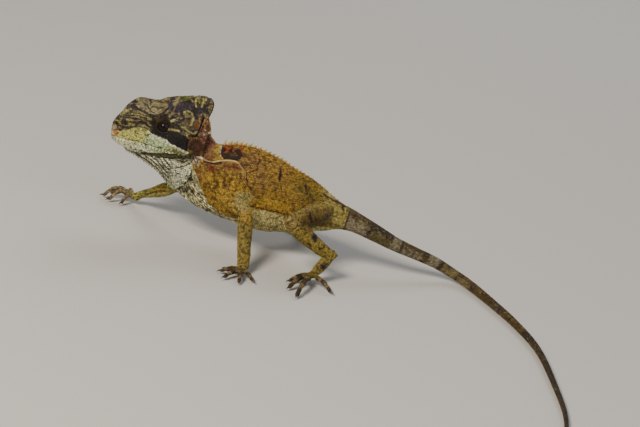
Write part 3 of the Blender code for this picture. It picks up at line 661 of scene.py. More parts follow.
@dataclass
class Spine:
    """The trunk and tail, as one length of flesh from the nape to the tail's tip."""

    # x, y and z of the middle in mm, half width, rise, drop, ridge and keel
    stations: Rows = table("""
        -39 0 37 4.4 6 7.4 1.2 1.2
        -34.2 0 34.2 5.6 9.2 14.6 1.3 1.1
        -28.2 0 31 7.2 11.8 16.2 1.5 1
        -20 0 28 8.6 16 16.6 1.7 0.95
        -11 0 25.6 9.4 17.9 15.5 1.75 0.9
        -2 0 23.6 9.8 17.7 15.1 1.75 0.85
        7 0 22.4 9.4 15.8 12.6 1.7 0.85
        15 0 21.9 8.4 13.5 10.4 1.6 0.9
        23 0 21.6 7 9.8 8 1.5 0.95
        30 0 21.4 5.4 6.2 5.4 1.4 1
        37 0.4 20.2 4.3 4.5 4.1 1.25 1
        46 1.8 17 3.6 3.7 3.5 1.15 1
        55.5 3.8 13.2 2.95 3 2.9 1.1 1
        65 6.4 10 2.5 2.6 2.5 1.1 1
        74 9 6.9 2.3 2.4 2.3 1.1 1
        82.5 9.6 3.5 2.1 2.1 2.1 1.1 1
        90.3 4.4 1.95 1.95 2 2 1.1 1
        99 -8.6 1.68 1.75 1.8 1.8 1.1 1
        109.6 -27 1.52 1.6 1.62 1.62 1.1 1
        118.6 -49 1.35 1.42 1.45 1.45 1.1 1
        124.8 -80 1.12 1.2 1.22 1.22 1.1 1
        128.6 -110 0.92 0.98 1 1 1.1 1
        126 -135 0.7 0.76 0.78 0.78 1.1 1
        115 -154 0.45 0.5 0.52 0.52 1.1 1
        105 -163.5 0.28 0.3 0.3 0.3 1.1 1
    """)
    vent: float = 9.3  # station number where the trunk ends

    def sections(self, numbers: Array) -> tuple[Array, Array, Array, Array]:
        """The centre line and its directions at these station numbers.

        Args:
            numbers: Station numbers.

        Returns:
            The stations' values, and the directions along, to the side and up.
        """
        values = curve_through(self.stations, numbers)
        ahead = curve_through(self.stations, numbers + 0.02)[:, :3]
        behind = curve_through(self.stations, numbers - 0.02)[:, :3]
        along = unit(ahead - behind)
        side = unit(np.cross(along, (0.0, 0.0, 1.0)))
        return values, along, side, np.cross(side, along)

    def form(self, part: Part, first: float, last: float, sides: int) -> Form:
        """A length of the trunk or tail.

        Args:
            part: What it is.
            first: The station number that it starts from.
            last: The one that it ends at.
            sides: How many points a ring has.

        Returns:
            The form.
        """
        numbers = np.linspace(first, last, int((last - first) / RING_STEP) + 2)
        values, _, side, up = self.sections(numbers)
        turn = np.arange(sides) * 2 * math.pi / sides
        high = np.sin(turn) > 0
        rings = []
        for row, across, above in zip(values, side, up):
            wide, rise, drop = np.maximum(row[3:6] - COAT_DEPTH, 0.15)
            out = np.sign(np.cos(turn)) * np.abs(np.cos(turn)) ** np.where(high, row[6], row[7])
            lift = np.sin(turn) * np.where(high, rise, drop)
            rings.append(row[:3] + wide * out[:, None] * across + lift[:, None] * above)
        return Form(part, np.array(rings), numbers)

    def crest_line(self, numbers: Array) -> tuple[Array, Array, Array]:
        """The top of the back, with the directions along it and away from it.

        Args:
            numbers: Station numbers.

        Returns:
            Places, directions along and directions away.
        """
        tops = []
        for shift in (-0.05, 0.0, 0.05):
            values, _, _, up = self.sections(numbers + shift)
            tops.append(values[:, :3] + (values[:, 4:5] - COAT_DEPTH) * up)
        along = unit(tops[2] - tops[0])
        return tops[1], along, np.column_stack([-along[:, 2], along[:, 1] * 0, along[:, 0]])


@dataclass
class Skull:
    """The head with its helmet, the jaw and the throat pouch."""

    # x in mm, then half width and height of lip, cheek, hollow, brow and ridge, and the crown's height
    head: Rows = table("""
        -69 1.2 37.6 1.3 38.4 1.3 39.4 1.1 40.4 0.6 41 41.2
        -68.4 2.7 36.5 3 38.2 2.9 40 2.4 41.8 1.4 42.8 42.9
        -66.6 4.1 36.8 4.4 38.8 4.1 41.6 3.3 44.4 2.1 45.6 45.4
        -64 5.3 37.1 5.6 39.4 5.1 43 4.3 48 2.9 49.8 49
        -61.5 6.1 37.4 6.4 39.8 5.8 44 5 50.2 3.5 52.2 51
        -59 6.8 37.6 7.1 40 6.3 44.6 5.9 50.8 4 53.2 51.8
        -55.5 7.4 37.7 7.7 40.2 6.8 44.9 7 50.4 4.4 53.1 52
        -52.5 7.9 37.6 8.2 40.2 7.1 45.2 7.6 50 4.5 53.3 52.2
        -49.5 8.2 37.4 8.5 40 7.2 45.6 7.8 51.2 4.4 54.8 53.2
        -46.5 8.5 37.1 8.8 39.8 7.9 45.4 6.8 52.6 3.6 56.5 55.2
        -43.5 8.6 36.9 8.9 39.7 8.6 45.6 5.5 52.4 2.5 57.6 57
        -40 8.4 36.8 8.8 39.6 8.9 46.2 4.2 52.4 1.6 58.6 58.7
        -36.8 7.9 36.8 8.3 39.4 8.5 46.2 3.1 52.2 1 59.3 59.7
        -34.4 7.3 36.8 7.6 39.2 7.3 45.6 2.2 51.4 0.8 59.8 60.2
        -33.2 6.9 36.8 7.3 39.1 6.3 45.2 1.8 50.4 0.7 59.9 60.3
    """)
    ear_block: Rows = table("""
        -33.4 6.8 36.9 7.2 39.2 6.6 44.8 3 46.4 1.2 46.8 46.9
        -31.4 6.5 36.9 6.9 39.2 6.1 44.4 3 46 1.2 46.4 46.5
        -29.6 6 37.1 6.3 39.2 5.5 43.4 2.9 44.9 1.2 45.3 45.4
    """)
    # x, lower and upper edge and half width
    helmet: Rows = table("""
        -36 47 59.4 2.4
        -33.4 46.3 60.3 2
        -31.8 48.8 60.4 1.5
        -30.3 52.4 59.7 1.1
        -29.6 55.2 58.2 0.7
    """)
    # x, top, bottom, half width and how round the keel is
    jaw: Rows = table("""
        -68.7 36.9 35.4 1.2 1
        -68 37.6 34.4 2.9 1
        -65 38.6 33 4.8 0.9
        -60.5 39.4 32.2 6.4 0.8
        -55 39.6 32 7.4 0.7
        -49 39.4 32 8.1 0.65
        -43.5 39 32.8 8.3 0.65
        -38.6 38.4 34.4 7.9 0.7
        -36.4 38 35.6 7.2 0.8
    """)
    throat: Rows = table("""
        -62.5 34.2 31.4 1.6 1.4
        -58.5 34.4 30 3.2 1.7
        -53 34.6 27.6 4.8 1.8
        -47 35 24.4 5.8 1.7
        -41.8 35.6 19.9 6.3 1.35
        -38 36 18.6 6.4 1.1
        -35.2 36.2 20 6.3 1
        -33.4 36.2 23.8 5.7 1
        -32.4 36 28.4 4.6 1
    """)
    temple_ridge: Rows = (
        (-44.6, 6.9, 49.8), (-40.2, 8.0, 48.3), (-36.4, 8.1, 46.7), (-33.9, 7.6, 46.5), (-31.9, 7.9, 46.9)
    )
    temple_thick: tuple[float, ...] = (0.3, 0.7, 0.85, 0.7, 0.2)
    fin: Rows = (
        (-34.4, 40.0), (-32.6, 46.0), (-30.6, 51.0), (-29.7, 49.8),
        (-28.9, 46.8), (-28.3, 44.0), (-26.2, 42.2), (-24.8, 39.0),
    )
    fin_thick: float = 1.7
    eye_at: tuple[float, float, float] = (-47.5, 6.0, 46.2)
    eye_radius: float = 2.7
    lid_ring: float = 2.5
    lid_thick: float = 0.55
    lid_out: float = 1.4
    ear_at: tuple[float, float, float] = (-33.4, 7.5, 41.1)
    ear_radius: float = 2.6
    ear_deep: float = 1.1
    ear_turn: float = 14.0
    nostril_at: tuple[float, float, float] = (-67.0, 3.5, 42.2)
    nostril_radius: float = 0.62

    def head_form(self, stations: Rows, half: int) -> Form:
        """A length of the upper head.

        Args:
            stations: Its cross-sections.
            half: How many points half a ring has.

        Returns:
            The form.
        """
        rings = []
        for row in curve_through(stations, np.linspace(0, len(stations) - 1, 8 * len(stations) - 7)):
            lip, cheek, hollow, brow, ridge = row[1:11].reshape(5, 2)
            crown = (0.0, row[11])
            valley = (ridge[0] * 0.5, 0.35 * ridge[1] + 0.65 * row[11])
            corner = (lip[0] * 0.8, lip[1] - 0.05)
            named = [(0.0, lip[1]), corner, lip, cheek, hollow, brow, ridge, valley, crown]
            outline = curve_through(named, np.linspace(0, 8, half))
            outline[:, 0] = np.maximum(outline[:, 0], 0.0)
            whole = np.concatenate([outline, outline[-2:0:-1] * (-1, 1)])
            rings.append(np.column_stack([np.full(len(whole), row[0]), whole]))
        return Form(Part.HEAD, np.array(rings))

    def blade_form(self) -> Form:
        """The thin rear end of the helmet, which overhangs the nape.

        Returns:
            The form.
        """
        turn = np.arange(48) * math.pi / 24
        rings = []
        for x, low, high, wide in curve_through(self.helmet, np.linspace(0, len(self.helmet) - 1, 33)):
            across = wide * np.cos(turn) * (1 - 0.45 * np.sin(turn))
            upright = (low + high) / 2 + (high - low) / 2 * np.sin(turn)
            rings.append(np.column_stack([np.full(48, x), across, upright]))
        return Form(Part.HEAD, np.array(rings))

    def jaw_form(self, stations: Rows, part: Part) -> Form:
        """The lower jaw or the throat, flat on top and keeled below.

        Args:
            stations: Its cross-sections.
            part: What it is.

        Returns:
            The form.
        """
        sides = 72
        turn = np.arange(sides) * 2 * math.pi / sides
        high = np.sin(turn) > 0
        rings = []
        for x, top, bottom, wide, keel in curve_through(stations, np.linspace(0, len(stations) - 1, 81)):
            across = wide * np.sign(np.cos(turn)) * np.abs(np.cos(turn)) ** np.where(high, 0.55, keel)
            waist = top - 0.35 * (top - bottom)
            upright = waist + np.sin(turn) * np.where(high, top - waist, waist - bottom)
            rings.append(np.column_stack([np.full(sides, x), across, upright]))
        return Form(part, np.array(rings))

    def fin_form(self) -> Form:
        """The fin of skin between the helmet and the nape.

        Returns:
            The form.
        """
        outline = np.array(self.fin)
        middle = outline.mean(axis=0)
        rings = []
        for across, shrink in ((-0.5, 0.82), (-0.35, 0.96), (0.35, 0.96), (0.5, 0.82)):
            flat = middle + (outline - middle) * shrink
            y = np.full(len(flat), across * self.fin_thick)
            rings.append(np.column_stack([flat[:, 0], y, flat[:, 1]]))
        return Form(Part.FIN, np.array(rings))

    def lid_middle(self) -> Array:
        """The middle of the right eye's lids."""
        return np.array(self.eye_at) + (0, self.lid_out, 0)

    def mouth_height(self, x: Array) -> Array:
        """How high the mouth's line runs at each x."""
        rows = np.array(self.head)
        return np.interp(x, rows[:, 0], rows[:, 2]) + 0.15


def mirrored(places: Array) -> Array:
    """The places, all moved to the right side."""
    return np.column_stack([places[:, 0], np.abs(places[:, 1]), places[:, 2]])


def sweep(part: Part, path: Array, radius: Array, sides: int = 28, flat: float = 1.0) -> Form:
    """A tube along a path.

    Args:
        part: What it is.
        path: Points of its middle line.
        radius: How thick it is at each.
        sides: How many points a ring has.
        flat: How much lower than wide it is.

    Returns:
        The form.
    """
    along = unit(np.gradient(path, axis=0))
    side = unit(np.cross(along[0], (0.0, 0.0, 1.0)))
    turn = np.arange(sides) * 2 * math.pi / sides
    rings = []
    for at, lie, thick in zip(path, along, radius):
        side = unit(side - lie * (side @ lie))
        above = np.cross(side, lie)
        ring = np.cos(turn)[:, None] * side + flat * np.sin(turn)[:, None] * above
        rings.append(at + thick * ring)
    return Form(part, np.array(rings))


def ball_form(part: Part, at: Sequence[float], reach: Sequence[float], lie: Sequence[float]) -> Form:
    """An egg-shaped muscle.

    Args:
        part: What it is.
        at: Its middle.
        reach: Its half length and half width.
        lie: The way that it points.

    Returns:
        The form.
    """
    turn = np.linspace(0.03, math.pi - 0.03, 17)
    path = np.array(at) - np.cos(turn)[:, None] * reach[0] * unit(np.array(lie, float))
    return sweep(part, path, np.sin(turn) * reach[1], 24)


class Digit(NamedTuple):
    """One finger or toe: the heading that it leaves the palm by, how far it turns, and its size."""

    heading: float
    turn: float
    length: float
    thick: float


@dataclass
class Limb:
    """One leg, from its root in the trunk to its claws."""

    names: tuple[str, str, str]
    side: str
    part: Part
    root: tuple[float, float, float]
    joint: tuple[float, float, float]
    wrist: tuple[float, float, float]
    palm: tuple[float, float, float]
    arch: float
    digits: tuple[Digit, ...]
    upper_thick: tuple[tuple[float, float], ...]
    lower_thick: tuple[tuple[float, float], ...]

    def nodes(self) -> list[str]:
        """The names of the nodes that the limb's skin stands for."""
        return [f"{name}_{self.side}" for name in self.names]

    def forms(self) -> list[Form]:
        """The two long lengths of the limb.

        Returns:
            The upper length and the lower one.
        """
        root, joint, wrist = (np.array(p) for p in (self.root, self.joint, self.wrist))
        share = np.linspace(0, 1, 29)[:, None]
        hang = np.sin(share * math.pi) * (0.0, 0.0, -0.5)
        upper = root + (joint - root) * share + hang
        lower = joint + (wrist - joint) * share + hang
        beyond = upper[-1] + (upper[-1] - upper[-2]) * np.array([[0.8], [1.6], [2.4], [3.0]])
        swell = np.interp(share[:, 0], *np.transpose(self.upper_thick)) - COAT_DEPTH
        calf = np.interp(share[:, 0], *np.transpose(self.lower_thick)) - COAT_DEPTH
        swell = np.concatenate([swell, swell[-1] * np.array([0.94, 0.8, 0.55, 0.2])])
        calf[:3] *= (0.6, 0.84, 0.96)
        return [
            sweep(self.part, np.concatenate([upper, beyond]), swell),
            sweep(self.part, lower, calf),
        ]

    def palm_form(self) -> Form:
        """The hand or foot without its digits.

        Returns:
            The form.
        """
        wrist, palm = np.array(self.wrist), np.array(self.palm)
        share = np.linspace(-0.2, 1.1, 15)[:, None]
        path = wrist + (palm - wrist) * share
        path[:, 2] -= 0.5 * np.sin(np.clip(share[:, 0], 0, 1) * math.pi)
        start = self.lower_thick[-1][1] - COAT_DEPTH
        thick = np.interp(share[:, 0], (0, 0.7, 1, 1.1), (start, max(start * 0.85, 1.75), 1.5, 0.9))
        return sweep(self.part, path, thick, 24)

    def digit_path(self, digit: Digit) -> tuple[Array, Array, float]:
        """The middle line of a digit, how thick it is there, and the way that its tip points.

        Args:
            digit: Which one.

        Returns:
            Points, radii and a heading in radians.
        """
        share = np.linspace(0, 1, 31)
        heading = np.radians(digit.heading + digit.turn * share)
        step = digit.length / (len(share) - 1)
        flat = np.cumsum(np.column_stack([np.cos(heading), np.sin(heading)]) * step, axis=0)
        flat -= flat[0]
        rise = self.arch * digit.length / 12.0
        height = self.palm[2] + (0.85 - self.palm[2]) * share + rise * np.sin(share**1.4 * math.pi)
        path = np.column_stack([self.palm[0] + flat[:, 0], self.palm[1] + flat[:, 1], height])
        joints = 0.1 * np.cos(share * 6 * math.pi) * (digit.length > 7)
        thick = digit.thick * (1.12 - 0.3 * share) * (1 + joints) - 0.1
        thick[-2:] *= (0.93, 0.75)
        return path, thick, heading[-1]

    def digit_forms(self) -> list[Form]:
        """The fingers or toes.

        Returns:
            A form for each.
        """
        found = []
        for digit in self.digits:
            path, thick, _ = self.digit_path(digit)
            found.append(sweep(Part.FOOT, path, thick, 16, 0.92))
        return found

    def claw_forms(self) -> list[Form]:
        """The claws, each a hooked horn that grows out of its digit's tip.

        Returns:
            A form for each.
        """
        found = []
        for digit in self.digits:
            path, _, heading = self.digit_path(digit)
            ahead = np.array([math.cos(heading), math.sin(heading)])
            share = np.linspace(0, 1, 13)
            out = -0.45 + 2.45 * share
            height = 0.78 + 0.42 * np.sin(share * 2.3) - 0.72 * share**2.2
            places = np.column_stack([path[-1, 0] + ahead[0] * out, path[-1, 1] + ahead[1] * out, height])
            found.append(sweep(Part.FOOT, places, 0.5 * (1 - share**1.35) + 0.035, 12, 1.15))
        return found


ARM_NODES = ("upper_arm", "forearm", "hand")
LEG_NODES = ("thigh", "shank", "foot")
LIMBS = (
    Limb(ARM_NODES, "left", Part.ARM, (-21.5, -4.0, 24.0), (-7.4, -18.0, 21.2), (-4.2, -28.4, 4.4),
         (-3.8, -31.4, 2.0), 0.9,
         (Digit(186, -10, 6.6, 0.85), Digit(208, -8, 9.0, 0.9), Digit(238, -4, 11.2, 0.95),
          Digit(267, 4, 11.2, 0.95), Digit(302, 10, 8.2, 0.9)),
         ((0, 3.0), (0.4, 3.5), (0.8, 3.2), (1, 3.0)), ((0, 3.0), (0.35, 3.1), (0.7, 2.8), (1, 2.65))),
    Limb(ARM_NODES, "right", Part.ARM, (-22.5, 4.0, 24.0), (-39.4, 12.6, 15.2), (-54.0, 21.6, 4.8),
         (-57.2, 22.8, 2.6), 3.4,
         (Digit(226, 14, 6.6, 0.85), Digit(200, 8, 10.4, 0.9), Digit(182, 2, 12.4, 0.95),
          Digit(160, -4, 10.6, 0.9), Digit(118, -12, 8.0, 0.85)),
         ((0, 3.0), (0.4, 3.5), (0.8, 3.0), (1, 2.8)),
         ((0, 2.8), (0.35, 2.9), (0.6, 2.35), (0.85, 1.8), (1, 1.7))),
    Limb(LEG_NODES, "left", Part.LEG, (25.0, -3.4, 24.4), (11.8, -21.6, 22.4), (29.8, -18.4, 10.6),
         (24.4, -24.2, 3.2), 1.2,
         (Digit(182, 10, 6.4, 0.9), Digit(212, 6, 10.4, 0.95), Digit(236, 4, 15.4, 1.05),
          Digit(256, 3, 20.6, 1.1), Digit(312, 6, 12.0, 0.95)),
         ((0, 3.4), (0.4, 4.6), (0.8, 4.1), (1, 3.6)), ((0, 3.6), (0.3, 3.65), (0.65, 2.95), (1, 2.4))),
    Limb(LEG_NODES, "right", Part.LEG, (25.0, 3.4, 24.4), (4.4, 13.6, 21.6), (19.2, 23.4, 9.0),
         (15.6, 29.35, 2.3), 1.2,
         (Digit(178, -10, 6.4, 0.9), Digit(154, -6, 10.4, 0.95), Digit(134, -4, 15.4, 1.05),
          Digit(115, -3, 20.6, 1.1), Digit(60, -6, 12.0, 0.95)),
         ((0, 3.4), (0.4, 4.6), (0.8, 4.1), (1, 3.6)), ((0, 3.6), (0.3, 3.65), (0.65, 2.95), (1, 2.4))),
)


@dataclass
class Frame:
    """Moves the working frame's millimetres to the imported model's metres."""

    shift: Array

    @staticmethod
    def of(skull: Skull) -> Frame:
        """Finds the shift from the two eyes, whose middle is known in both frames.

        Args:
            skull: The head, which tells where the eyes are.

        Returns:
            The frame.
        """
        corners = [np.array(corner) for eye in ("eye_left", "eye_right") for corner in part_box(eye)]
        middle = (np.min(corners, axis=0) + np.max(corners, axis=0)) / 2
        known = np.array(skull.eye_at) * (1, 0, 1)
        return Frame(middle / MM - known)

    def metres(self, points: Array) -> Array:
        """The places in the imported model."""
        return (np.asarray(points) + self.shift) * MM

    def millimetres(self, points: Array) -> Array:
        """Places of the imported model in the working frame."""
        return points / MM - self.shift


@dataclass
class Look:
    """Places on one part of the body, which the method of that part's name colours."""

    skull: Skull
    spine: Spine
    at: Array  # mm
    places: Array  # the same as (x, z), with a little wander
    share: Array  # where they lie on the unwrap
    station: Array

    def dapple(self, colour: Array, seed: int, dark: float, pale: float) -> Array:
        """Breaks a colour up into darker and paler scales.

        Args:
            colour: Rows of linear RGB.
            seed: Which noise.
            dark: How strong the dark ones are.
            pale: How strong the pale ones are.

        Returns:
            The new rows.
        """
        low = ramp(0.46, 0.26, cloud(self.at, 0.75, seed)) * dark
        high = ramp(0.58, 0.78, cloud(self.at, 0.7, seed + 1)) * pale
        return colour * (1 - low[:, None]) * (1 + high[:, None])

    def head(self) -> Array:
        """The rugged dark helmet, the pale brow and the lips.

        Returns:
            Rows of linear RGB.
        """
        at, places = self.at, self.places
        x, z = places.T
        veins = np.abs(cloud(at, 1.9, 3) + 0.5 * cloud(at, 0.8, 4) - 0.75)
        brow = ramp(-62.0, -60.0, x) * ramp(-47.0, -48.5, x)
        dark = ramp(0.6, 0.74, cloud(at * (0.6, 1, 1.6), 1.0, 6)) * ramp(49.5, 51, at[:, 2])
        behind = ramp(-0.1, 0.2, x - np.interp(z, *np.transpose(FIN_EDGE)[::-1])) * ramp(45.0, 45.6, z)
        neck = self.dapple(layers(Tint.NECK_BROWN, *laid(NECK_MARKS, places)), 7, 0.5, 0.35)
        over_lip = z - np.interp(x, *np.transpose(LIP_TOP))
        colour = layers(
            Tint.PLATE_BROWN,
            (Tint.STREAK_DULL, ramp(0.12, 0.03, veins) * 0.8),
            (Tint.PLATE_PURPLE, ramp(0.55, 0.75, cloud(at, 3.0, 5)) * 0.7),
            *laid(HEAD_MARKS, places),
            (Tint.PLATE_BROWN, dark * (0.8 - 0.3 * brow)),
            (self.fin(), behind * ramp(52.8, 52.0, z)),
            # painted shade in the gap between the helmet and the fin
            *laid((FIN_GAP_SHADE,), at[:, [0, 2]]),
            *self.snout(),
            (neck, ramp(-36.9, -36.4, x) * ramp(45.6, 44.9, z)),
            # the groove in front of the ear again, with its painted shade
            *laid(NECK_MARKS[-1:], places),
            (self.lips(), ramp(0.15, -0.25, over_lip) * ramp(-35.6, -36.8, x)),
            (Tint.LIP_WHITE, LIP_EDGE.cover(places) * ramp(0.4, -0.1, over_lip)),
        )
        return self.dapple(colour, 12, 0.5, 0.35)

    def snout(self) -> list[Layer]:
        """Thin pale streaks that run back from the nose over its dark plates.

        Returns:
            Coats of paint for `layers`.
        """
        at, places = self.at, self.places
        x, z = places.T
        run = at * (0.4, 1, 1)
        height = z - 0.12 * x + (cloud(run, 1.6, 91) - 0.5) * 2.6
        lines = np.cos(height * 2 * math.pi / SNOUT_STREAKS) + (cloud(run, 0.6, 92) - 0.5) * 1.4
        brow = np.interp(x, (-63.0, -57.0, -52.0), (50.4, 49.6, 47.6))
        region = ramp(-51.0, -54.0, x) * ramp(brow + 0.2, brow - 0.3, z)
        return [
            (Tint.PLATE_BROWN, ramp(0.1, -0.5, lines) * region * 0.85),
            (Tint.STREAK_DULL, ramp(0.5, 1.0, lines) * region * 0.8),
        ]

    def lips(self) -> Array:
        """The yellow-green lips that turn to mint and white behind, with dark specks.

        Returns:
            Rows of linear RGB.
        """
        at, places = self.at, self.places
        x, z = places.T
        return layers(
            Tint.LIP_YELLOW,
            (Tint.LIP_MINT, ramp(-57, -51, x - 0.8 * (z - 40) + 3 * (cloud(at, 2.0, 8) - 0.5))),
            (Tint.LIP_WHITE, ramp(38.2, 36.2, z) * ramp(-46, -54, x) * 0.8),
            (Tint.SNOUT_OLIVE, ramp(-46.5, -42, x) * ramp(40.2, 38.4, z) * 0.75),
            (Tint.SNOUT_PINK, ramp(-66.0, -67.6, x) * 0.6),
            (Tint.HOLLOW, ramp(0.74, 0.79, cloud(at, 0.7, 9)) * ramp(-66, -62, x) * 0.85),
            *laid(HEAD_MARKS[SNOUT_SPOT : SNOUT_SPOT + 1], places),
        )

    def jaw(self) -> Array:
        """The pale lower jaw, olive at its rear and below.

        Returns:
            Rows of linear RGB.
        """
        at, places = self.at, self.places
        x, z = places.T
        colour = layers(
            self.lips(),
            (Tint.SNOUT_OLIVE, ramp(-50, -44, x) * 0.8),
            # olive over the jaw's lower part: painted shade under the jaw
            (Tint.JAW_OLIVE, ramp(34.6, 33.0, z - 0.08 * (x + 55)) * ramp(-58, -52, x) * 0.85),
            *laid(JAW_SHADOW_AND_LINES, places),
        )
        return self.dapple(colour, 14, 0.4, 0.25)

    def throat(self) -> Array:
        """The pale pouch with brown between its rows.

        Returns:
            Rows of linear RGB.
        """
        at, places = self.at, self.places
        x, z = places.T
        front = ramp(-38.5, -43.5, x)
        pouch = np.array(self.skull.throat)
        height = at[:, 2] - np.interp(at[:, 0], pouch[:, 0], pouch[:, 2]) + (cloud(at, 2.5, 11) - 0.5) * 1.2
        rows = np.cos(height * 2 * math.pi / THROAT_ROWS - 0.9)
        colour = layers(
            linear(Tint.THROAT_WHITE) * (1 + 0.25 * (ramp(-0.2, -0.9, rows) * front)[:, None]),
            (Tint.HOLLOW, ramp(-0.05, 0.6, rows) * front * 0.92),
            (Tint.THROAT_BROWN, ramp(0.45, 0.7, cloud(at * (0.45, 1, 0.45), 1.3, 13)) * front * 0.6),
            (Tint.JAW_OLIVE, ramp(0.7, 0.78, cloud(at, 0.7, 18)) * (1 - front) * 0.8),
            # olive along the top of the pouch, just under the jaw, and the jaw's shadow line are painted
            # shadow; the near-black lines of the pouch folds and the crease are painted shade
            (Tint.JAW_OLIVE, ramp(31.6, 34.4, z) * ramp(-54, -47, x) * 0.8),
            *laid((*JAW_SHADOW_AND_LINES[:1], *POUCH_FOLDS, SHADED_CREASE), places),
        )
        return self.dapple(colour, 16, 0.65, 0.35)

    def trunk(self) -> Array:
        """The ochre body with its saddle mark, white fold, and pale chest and belly.

        Returns:
            Rows of linear RGB.
        """
        at, places = self.at, self.places
        x, z = places.T
        front = ramp(6, -8, x)
        neck = ramp(-25.0, -27.5, x) * ramp(35.0, 36.2, z)
        colour = layers(
            Tint.OCHRE,
            (Tint.BODY_TAN, ramp(0.4, 0.7, cloud(at, 5.0, 21)) * 0.6),
            (Tint.FLANK_OLIVE, ramp(2, 20, x) * 0.5),
            *laid(BODY_PATCHES, places),
            (Tint.HIP_PALE, ramp(22.5, 27.0, x + 0.4 * (z - 24))),
            (Tint.BODY_GOLD, ramp(0.5, 0.75, cloud(at, 2.0, 22)) * (0.2 + 0.35 * front)),
            (Tint.BODY_BROWN, ramp(0.09, 0.02, np.abs(cloud(at, 1.7, 23) - 0.5)) * (0.15 + 0.55 * front)),
            (Tint.BODY_BROWN, ramp(0.62, 0.8, cloud(at, 1.1, 24)) * (0.15 + 0.5 * front)),
            (Tint.NECK_BROWN, neck),
            *laid(NECK_MARKS, places),
            (Tint.RUST_RED, ramp(0.6, 0.72, cloud(at, 0.9, 27)) * neck * 0.7),
            # the body's marks, with a painted light spot under the front of the belly and painted shade at
            # the white fold's front end
            *laid((AXILLA_PATCH, *BODY_MARKS), places),
        )
        edge = z - np.interp(x, *np.transpose(CHEST_EDGE))
        # painted shade in the gaps between the chest's scales, growing darker towards its lower edge
        lines = np.column_stack([0.45 * (0.6 * x - 0.8 * z), at[:, 1], 0.8 * x + 0.6 * z])
        gap_shade = ramp(0.52, 0.64, cloud(lines, 0.8, 75)) * ramp(-11, -14, x)
        chest = layers(
            Tint.CHEST,
            (Tint.BELLY, ramp(-16, -6, x)),
            (Tint.CHEST_OLIVE, ramp(0.5, 0.75, cloud(at, 1.2, 25)) * ramp(-8, -14, x) * 0.7),
            (Tint.HOLLOW, gap_shade * (0.35 + 0.55 * ramp(-1.5, -4.5, edge))),
        )
        return layers(
            self.dapple(colour, 26, 0.6, 0.35),
            *self.saddle(),
            (self.dapple(chest, 28, 0.6, 0.3), ramp(0.35, -0.35, edge)),
            # the folds, with painted shadow under the flank fold and painted shade along the crease
            *laid((*FOLDS, FLANK_FOLD_SHADOW, SHADED_CREASE), at[:, [0, 2]] + (places - at[:, [0, 2]]) * 0.3),
        )

    def saddle(self) -> list[Layer]:
        """The dark mark over the shoulders, lit with rust and orange.

        Returns:
            Coats of paint for `layers`.
        """
        at, places = self.at, self.places
        x, z = places.T
        inside = (np.abs(x + 18.6) / 4.6) ** 3 + (np.abs(z - 41.0) / 3.5) ** 3
        heat = cloud(at, 0.9, 71) + 0.1 * (z - 40.8) - 0.04 * np.abs(x + 18.6)
        above = ramp(42.3, 41.0, z + (cloud(at, 1.2, 72) - 0.5) * 2)
        core = ramp(0.7, 0.3, inside)
        return [
            (Tint.SADDLE_FIRE, ramp(0.52, 0.7, heat) * ramp(1.6, 0.9, inside) * 0.8),
            (Tint.SADDLE_DARK, ramp(1.15, 0.85, inside) * above),
            (Tint.SADDLE_RED, ramp(0.42, 0.56, heat) * core),
            (Tint.SADDLE_FIRE, ramp(0.58, 0.7, heat) * core),
            *laid((Blotch((-17.7, 39.9), (1.2, 0.6), 11, Tint.SADDLE_OLIVE, 0.3),), places),
        ]

    def tail(self) -> Array:
        """The banded tail, darker along its top.

        Returns:
            Rows of linear RGB.
        """
        at = self.at
        starts, *tints = zip(*TAIL_BANDS)
        wander = self.station + (cloud(at, 1.6, 31) - 0.5) * 0.12
        index = np.clip(np.searchsorted(starts, wander) - 1, 0, len(starts) - 1)
        sides, tops = (np.array([linear(tint) for tint in column])[index] for column in tints)
        values, _, _, up = self.spine.sections(self.station)
        lift = ((at - values[:, :3]) * up).sum(axis=1) / np.maximum(values[:, 4], 0.2)
        colour = layers(
            sides,
            (tops, ramp(0.25, 0.75, lift + (cloud(at, 0.8, 32) - 0.5) * 0.5)),
            (Tint.TAIL_GREY, ramp(0.62, 0.78, cloud(at, 0.9, 33)) * 0.35),
            (Tint.TAIL_GREY, ramp(-0.4, -0.9, lift) * 0.5),
            (Tint.TAIL_DARK, ramp(0.66, 0.76, cloud(at, 0.6, 35)) * 0.6),
        )
        return self.dapple(colour, 34, 0.5, 0.4)

    def limb(self, base: Array) -> Array:
        """Adds the cracks and flecks of arms and legs to their colour.

        Args:
            base: Rows of linear RGB.

        Returns:
            The new rows.
        """
        cracks = ramp(0.08, 0.02, np.abs(cloud(self.at, 1.5, 41) - 0.5)) * 0.25
        flecks = ramp(0.76, 0.82, cloud(self.at, 0.8, 43)) * 0.85
        return self.dapple(layers(base, (Tint.BODY_BROWN, cracks), (Tint.FLECK, flecks)), 46, 0.65, 0.45)

    def arm(self) -> Array:
        """The ochre arms.

        Returns:
            Rows of linear RGB.
        """
        x, _, z = self.at.T
        colour = layers(
            Tint.LEG_OCHRE,
            (Tint.BODY_GOLD, ramp(17, 21, z) * 0.8),
            (Tint.LEG_GREEN, ramp(-32, -38, x)),
            *laid((AXILLA_PATCH, *ARM_MARKS), self.at[:, [0, 2]]),
        )
        return self.limb(colour)

    def leg(self) -> Array:
        """The browner legs."""
        return self.limb(layers(Tint.LEG_OCHRE, *laid(LEG_MARKS, self.at[:, [0, 2]])))

    def foot(self) -> Array:
        """The banded fingers and toes.

        Returns:
            Rows of linear RGB.
        """
        far = self.share[:, 0]
        bands = np.sin(far * 17.0 + 1.2) + (cloud(self.at, 0.8, 45) - 0.5)
        colour = layers(
            Tint.TOE_BROWN,
            (Tint.TOE_PALE, ramp(0.3, 0.75, bands) * 0.4),
            (Tint.TOE_PALE, ramp(-45, -50, self.at[:, 0]) * 0.5),
            (Tint.LEG_OCHRE, ramp(0.4, 0.1, far) * 0.8),
            (Tint.FLECK, ramp(0.8, 1.0, far) * 0.6),
        )
        return self.dapple(colour, 46, 0.65, 0.45)

